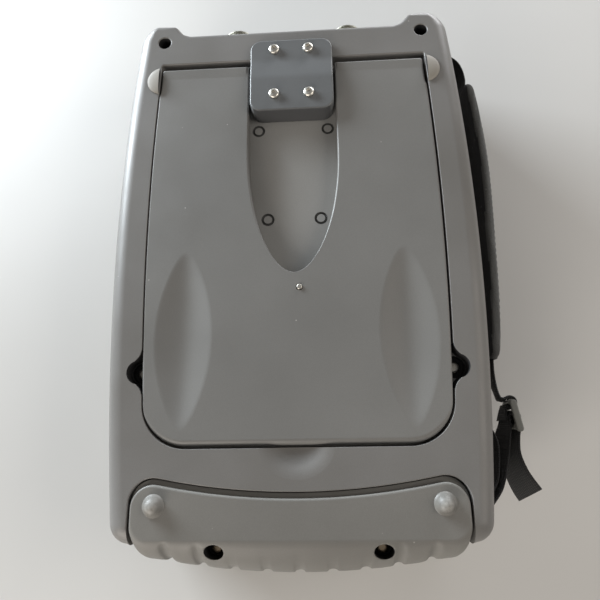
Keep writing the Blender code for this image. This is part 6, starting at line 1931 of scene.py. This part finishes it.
def settle(piece, change):
    """Keep what a modifier made of a piece."""
    made = evaluated_mesh(piece)
    worn_out = piece.data
    piece.modifiers.remove(change)
    piece.data = made
    bpy.data.meshes.remove(worn_out)


def seam_distance(point):
    """How far a place on the sleeve lies from its sewn edges and ends."""
    side = PAD_HALF - SEAM_IN - abs(point.z - WEB_MIDDLE)
    return min(side, PAD_ROUTE[0][1] - point.y, point.y - PAD_ROUTE[-1][1])


def puffed(piece):
    """Swell a cushion with a cloth simulation, its seams held and its swelling capped."""
    held = piece.vertex_groups.new(name="seams")
    sewn = [vertex.index for vertex in piece.data.vertices if seam_distance(vertex.co) < SEAM_WIDE]
    held.add(sewn, 1.0, "ADD")
    start = [vertex.co.copy() for vertex in piece.data.vertices]
    cloth = piece.modifiers.new("air", "CLOTH")
    cloth.settings.quality = 5
    cloth.settings.mass = 0.1
    cloth.settings.tension_stiffness = 8.0
    cloth.settings.compression_stiffness = 8.0
    cloth.settings.bending_stiffness = 0.2
    cloth.settings.use_pressure = True
    cloth.settings.uniform_pressure_force = PAD_PRESSURE
    cloth.settings.vertex_group_mass = "seams"
    cloth.settings.effector_weights.gravity = 0.0
    cloth.point_cache.frame_start, cloth.point_cache.frame_end = 1, PAD_FRAMES
    for step in range(1, PAD_FRAMES + 1):
        scene.frame_set(step)
    settle(piece, cloth)
    scene.frame_set(1)
    moved = 0.0
    for vertex, before in zip(piece.data.vertices, start):
        step = vertex.co - before
        if step.length > PAD_SWELL:
            vertex.co = before + step.normalized() * PAD_SWELL
        moved = max(moved, step.length)
    piece.vertex_groups.clear()
    print(f"sleeve swelled by up to {moved * 1000:.2f} mm, kept within {PAD_SWELL * 1000:.2f} mm")


remesh = pad.modifiers.new("even", "REMESH")
remesh.mode = "VOXEL"
remesh.voxel_size = PAD_VOXEL
settle(pad, remesh)
puffed(pad)
fine = pad.modifiers.new("fine", "SUBSURF")
fine.levels = fine.render_levels = 1
settle(pad, fine)
# Painted shade: faces towards the case take the near-black cloth.
dress(pad, (SLEEVE_CLOTH, SLEEVE_PAINTED_SHADE), "case", ["strap_pad"],
      lambda face: SLEEVE_PAINTED_SHADE if face.normal.x < -0.8 else SLEEVE_CLOTH, 80)

# %% [markdown]
# ## Hand strap: stitching, buckle and pins
# Two rows of stitches hold the sleeve's edges. Each stitch is a small grain laid on the nearest place of
# the finished sleeve, so the rows follow its puckers. The buckle has two rails with rounded ends and
# two bars, and plain steel pins hold the strap's ends in the case.

# %% Stitching
STITCH_PITCH = 0.0034
STITCH_HALF = (0.0002, 0.0011, 0.0002)
STITCH_IN = 0.0032
STITCH_OUT = 0.004
STITCH_MARGIN = 6
THREAD = moulded("thread", (0.035, 0.035, 0.036), 0.8)

surface = BVHTree.FromPolygons([vertex.co - CASE_PLACE for vertex in pad.data.vertices],
                               [polygon.vertices for polygon in pad.data.polygons])
stitches = bmesh.new()
walk = 0.0
for k in range(STITCH_MARGIN, len(pad_path) - STITCH_MARGIN):
    walk += (pad_path[k] - pad_path[k - 1]).length
    while walk > STITCH_PITCH:
        walk -= STITCH_PITCH
        across = path_frame(pad_path, k)
        place = pad_path[k] - Vector((across.y, -across.x)) * walk
        for side in SIDES.values():
            aim = Vector((*(place + across * STITCH_OUT), WEB_MIDDLE + side * (PAD_HALF - STITCH_IN)))
            spot = surface.find_nearest(aim)[0]
            turn = Matrix.Rotation(math.atan2(across.y, across.x), 4, "Z")
            made = bmesh.ops.create_icosphere(stitches, subdivisions=2, radius=1.0)
            bmesh.ops.scale(stitches, verts=made["verts"], vec=STITCH_HALF)
            bmesh.ops.transform(stitches, verts=made["verts"], matrix=Matrix.Translation(spot) @ turn)
dress(solid("sleeve_stitching", stitches), [THREAD], "case")

# %% Buckle and pins
LOWER_BAR = Vector((0.106005, -0.0805))
RAIL_ENDS = (Vector((0.1071, -0.0813)), Vector((0.1055, -0.0693)))
RAIL_RADIUS = 0.0017
RAIL_THICK = 0.0027
RAIL_SOFT = 0.0007
BAR_RADIUS = 0.0015
BAR_SEAT = 0.001
PIN_Z = (0.0171, 0.051)
PIN_RADIUS = 0.002
PIN_SOFT = 0.0004

rail_run = RAIL_ENDS[1] - RAIL_ENDS[0]
rail_lean = math.degrees(math.atan2(rail_run.y, rail_run.x))


def rail(low):
    """One rail of the buckle, with its edges rounded."""
    rings = []
    lower_edge = [(0.0, RAIL_SOFT), (RAIL_SOFT * 0.3, RAIL_SOFT * 0.3), (RAIL_SOFT, 0.0)]
    upper_edge = [(RAIL_THICK - rise, draw) for rise, draw in reversed(lower_edge)]
    for rise, draw in lower_edge + upper_edge:
        plan = arc(*RAIL_ENDS[0], RAIL_RADIUS - draw, rail_lean + 90, rail_lean + 270)
        plan += arc(*RAIL_ENDS[1], RAIL_RADIUS - draw, rail_lean - 90, rail_lean + 90)
        rings.append(at_height(plan, low + rise))
    return skin(rings)


low_rail, high_rail = WEB_LOW - SEAT_GAP - RAIL_THICK, WEB_HIGH + SEAT_GAP
bar_ends = (low_rail + BAR_SEAT, high_rail + BAR_SEAT)
bars = [leaned(round_bar(BAR_RADIUS, *bar_ends, 24, *bar)) for bar in (UPPER_BAR, LOWER_BAR)]
buckle = carve(solid("buckle", leaned(rail(high_rail))), bars + [leaned(rail(low_rail))], "UNION")
dress(buckle, [BUCKLE_PLASTIC], "case", ["strap_buckle"])
for label, (x, y) in STRAP_PINS.items():
    pin = [(0.0, PIN_Z[0]), (PIN_RADIUS - PIN_SOFT, PIN_Z[0]), (PIN_RADIUS, PIN_Z[0] + PIN_SOFT)]
    pin += [(PIN_RADIUS, PIN_Z[1] - PIN_SOFT), (PIN_RADIUS - PIN_SOFT, PIN_Z[1]), (0.0, PIN_Z[1])]
    strap_rod = solid(f"strap_rod_{label}", turned(pin, 32, x, y))
    dress(strap_rod, [SCREW_STEEL], "case", [f"strap_pin_{label}"])

# %% [markdown]
# ## Inside pieces
# The boards, the modules, the battery and the seal are right as the frame has them, and little of them
# shows, so they stay and only take a finish. The boards are green lacquer over faint copper runs.


# %% Inside pieces
def circuit(name, colour):
    """Lacquered board with faint tracks."""
    made, tree, shader, place = new_material(name)
    tracks = tree.nodes.new("ShaderNodeTexBrick")
    tracks.inputs["Scale"].default_value = 160.0
    for label, tone in (("Color1", 1.0), ("Color2", 0.8), ("Mortar", 1.7)):
        tracks.inputs[label].default_value = (*shaded(colour, tone), 1.0)
    tree.links.new(place, tracks.inputs["Vector"])
    slow = ranged(tree, noise(tree, place, 60.0, 3.0), 0.4, 0.6, 0.0, 0.5)
    body = mixed(tree, slow, tracks.outputs["Color"], shaded(colour, 1.3))
    tree.links.new(body, shader.inputs["Base Color"])
    shader.inputs["Roughness"].default_value = 0.35
    return made


BOARD_GREEN = circuit("board_green", (0.02, 0.16, 0.06))
KEPT = {"case_seal": SEAL_BLACK_AND_SHADE, "display_module": MODULE_BLACK, "keypad_mat": MAT_RUBBER,
        "keypad_board": BOARD_GREEN, "encoder": MODULE_BLACK, "main_board": BOARD_GREEN,
        "rf_module": SHIELD_METAL, "battery_pack": BATTERY_BLACK, "port_block": MODULE_BLACK}
for name, finish in KEPT.items():
    for place in frame["nodes"][name].material_slots:
        place.material = finish
print("kept as the frame has them:", ", ".join(KEPT))

# %% [markdown]
# ## Sizes and finish
# A reusable part has to keep its size, so the box round the dressed model is worked out before the
# scene is closed.

# %% Sizes and finish
low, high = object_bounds()
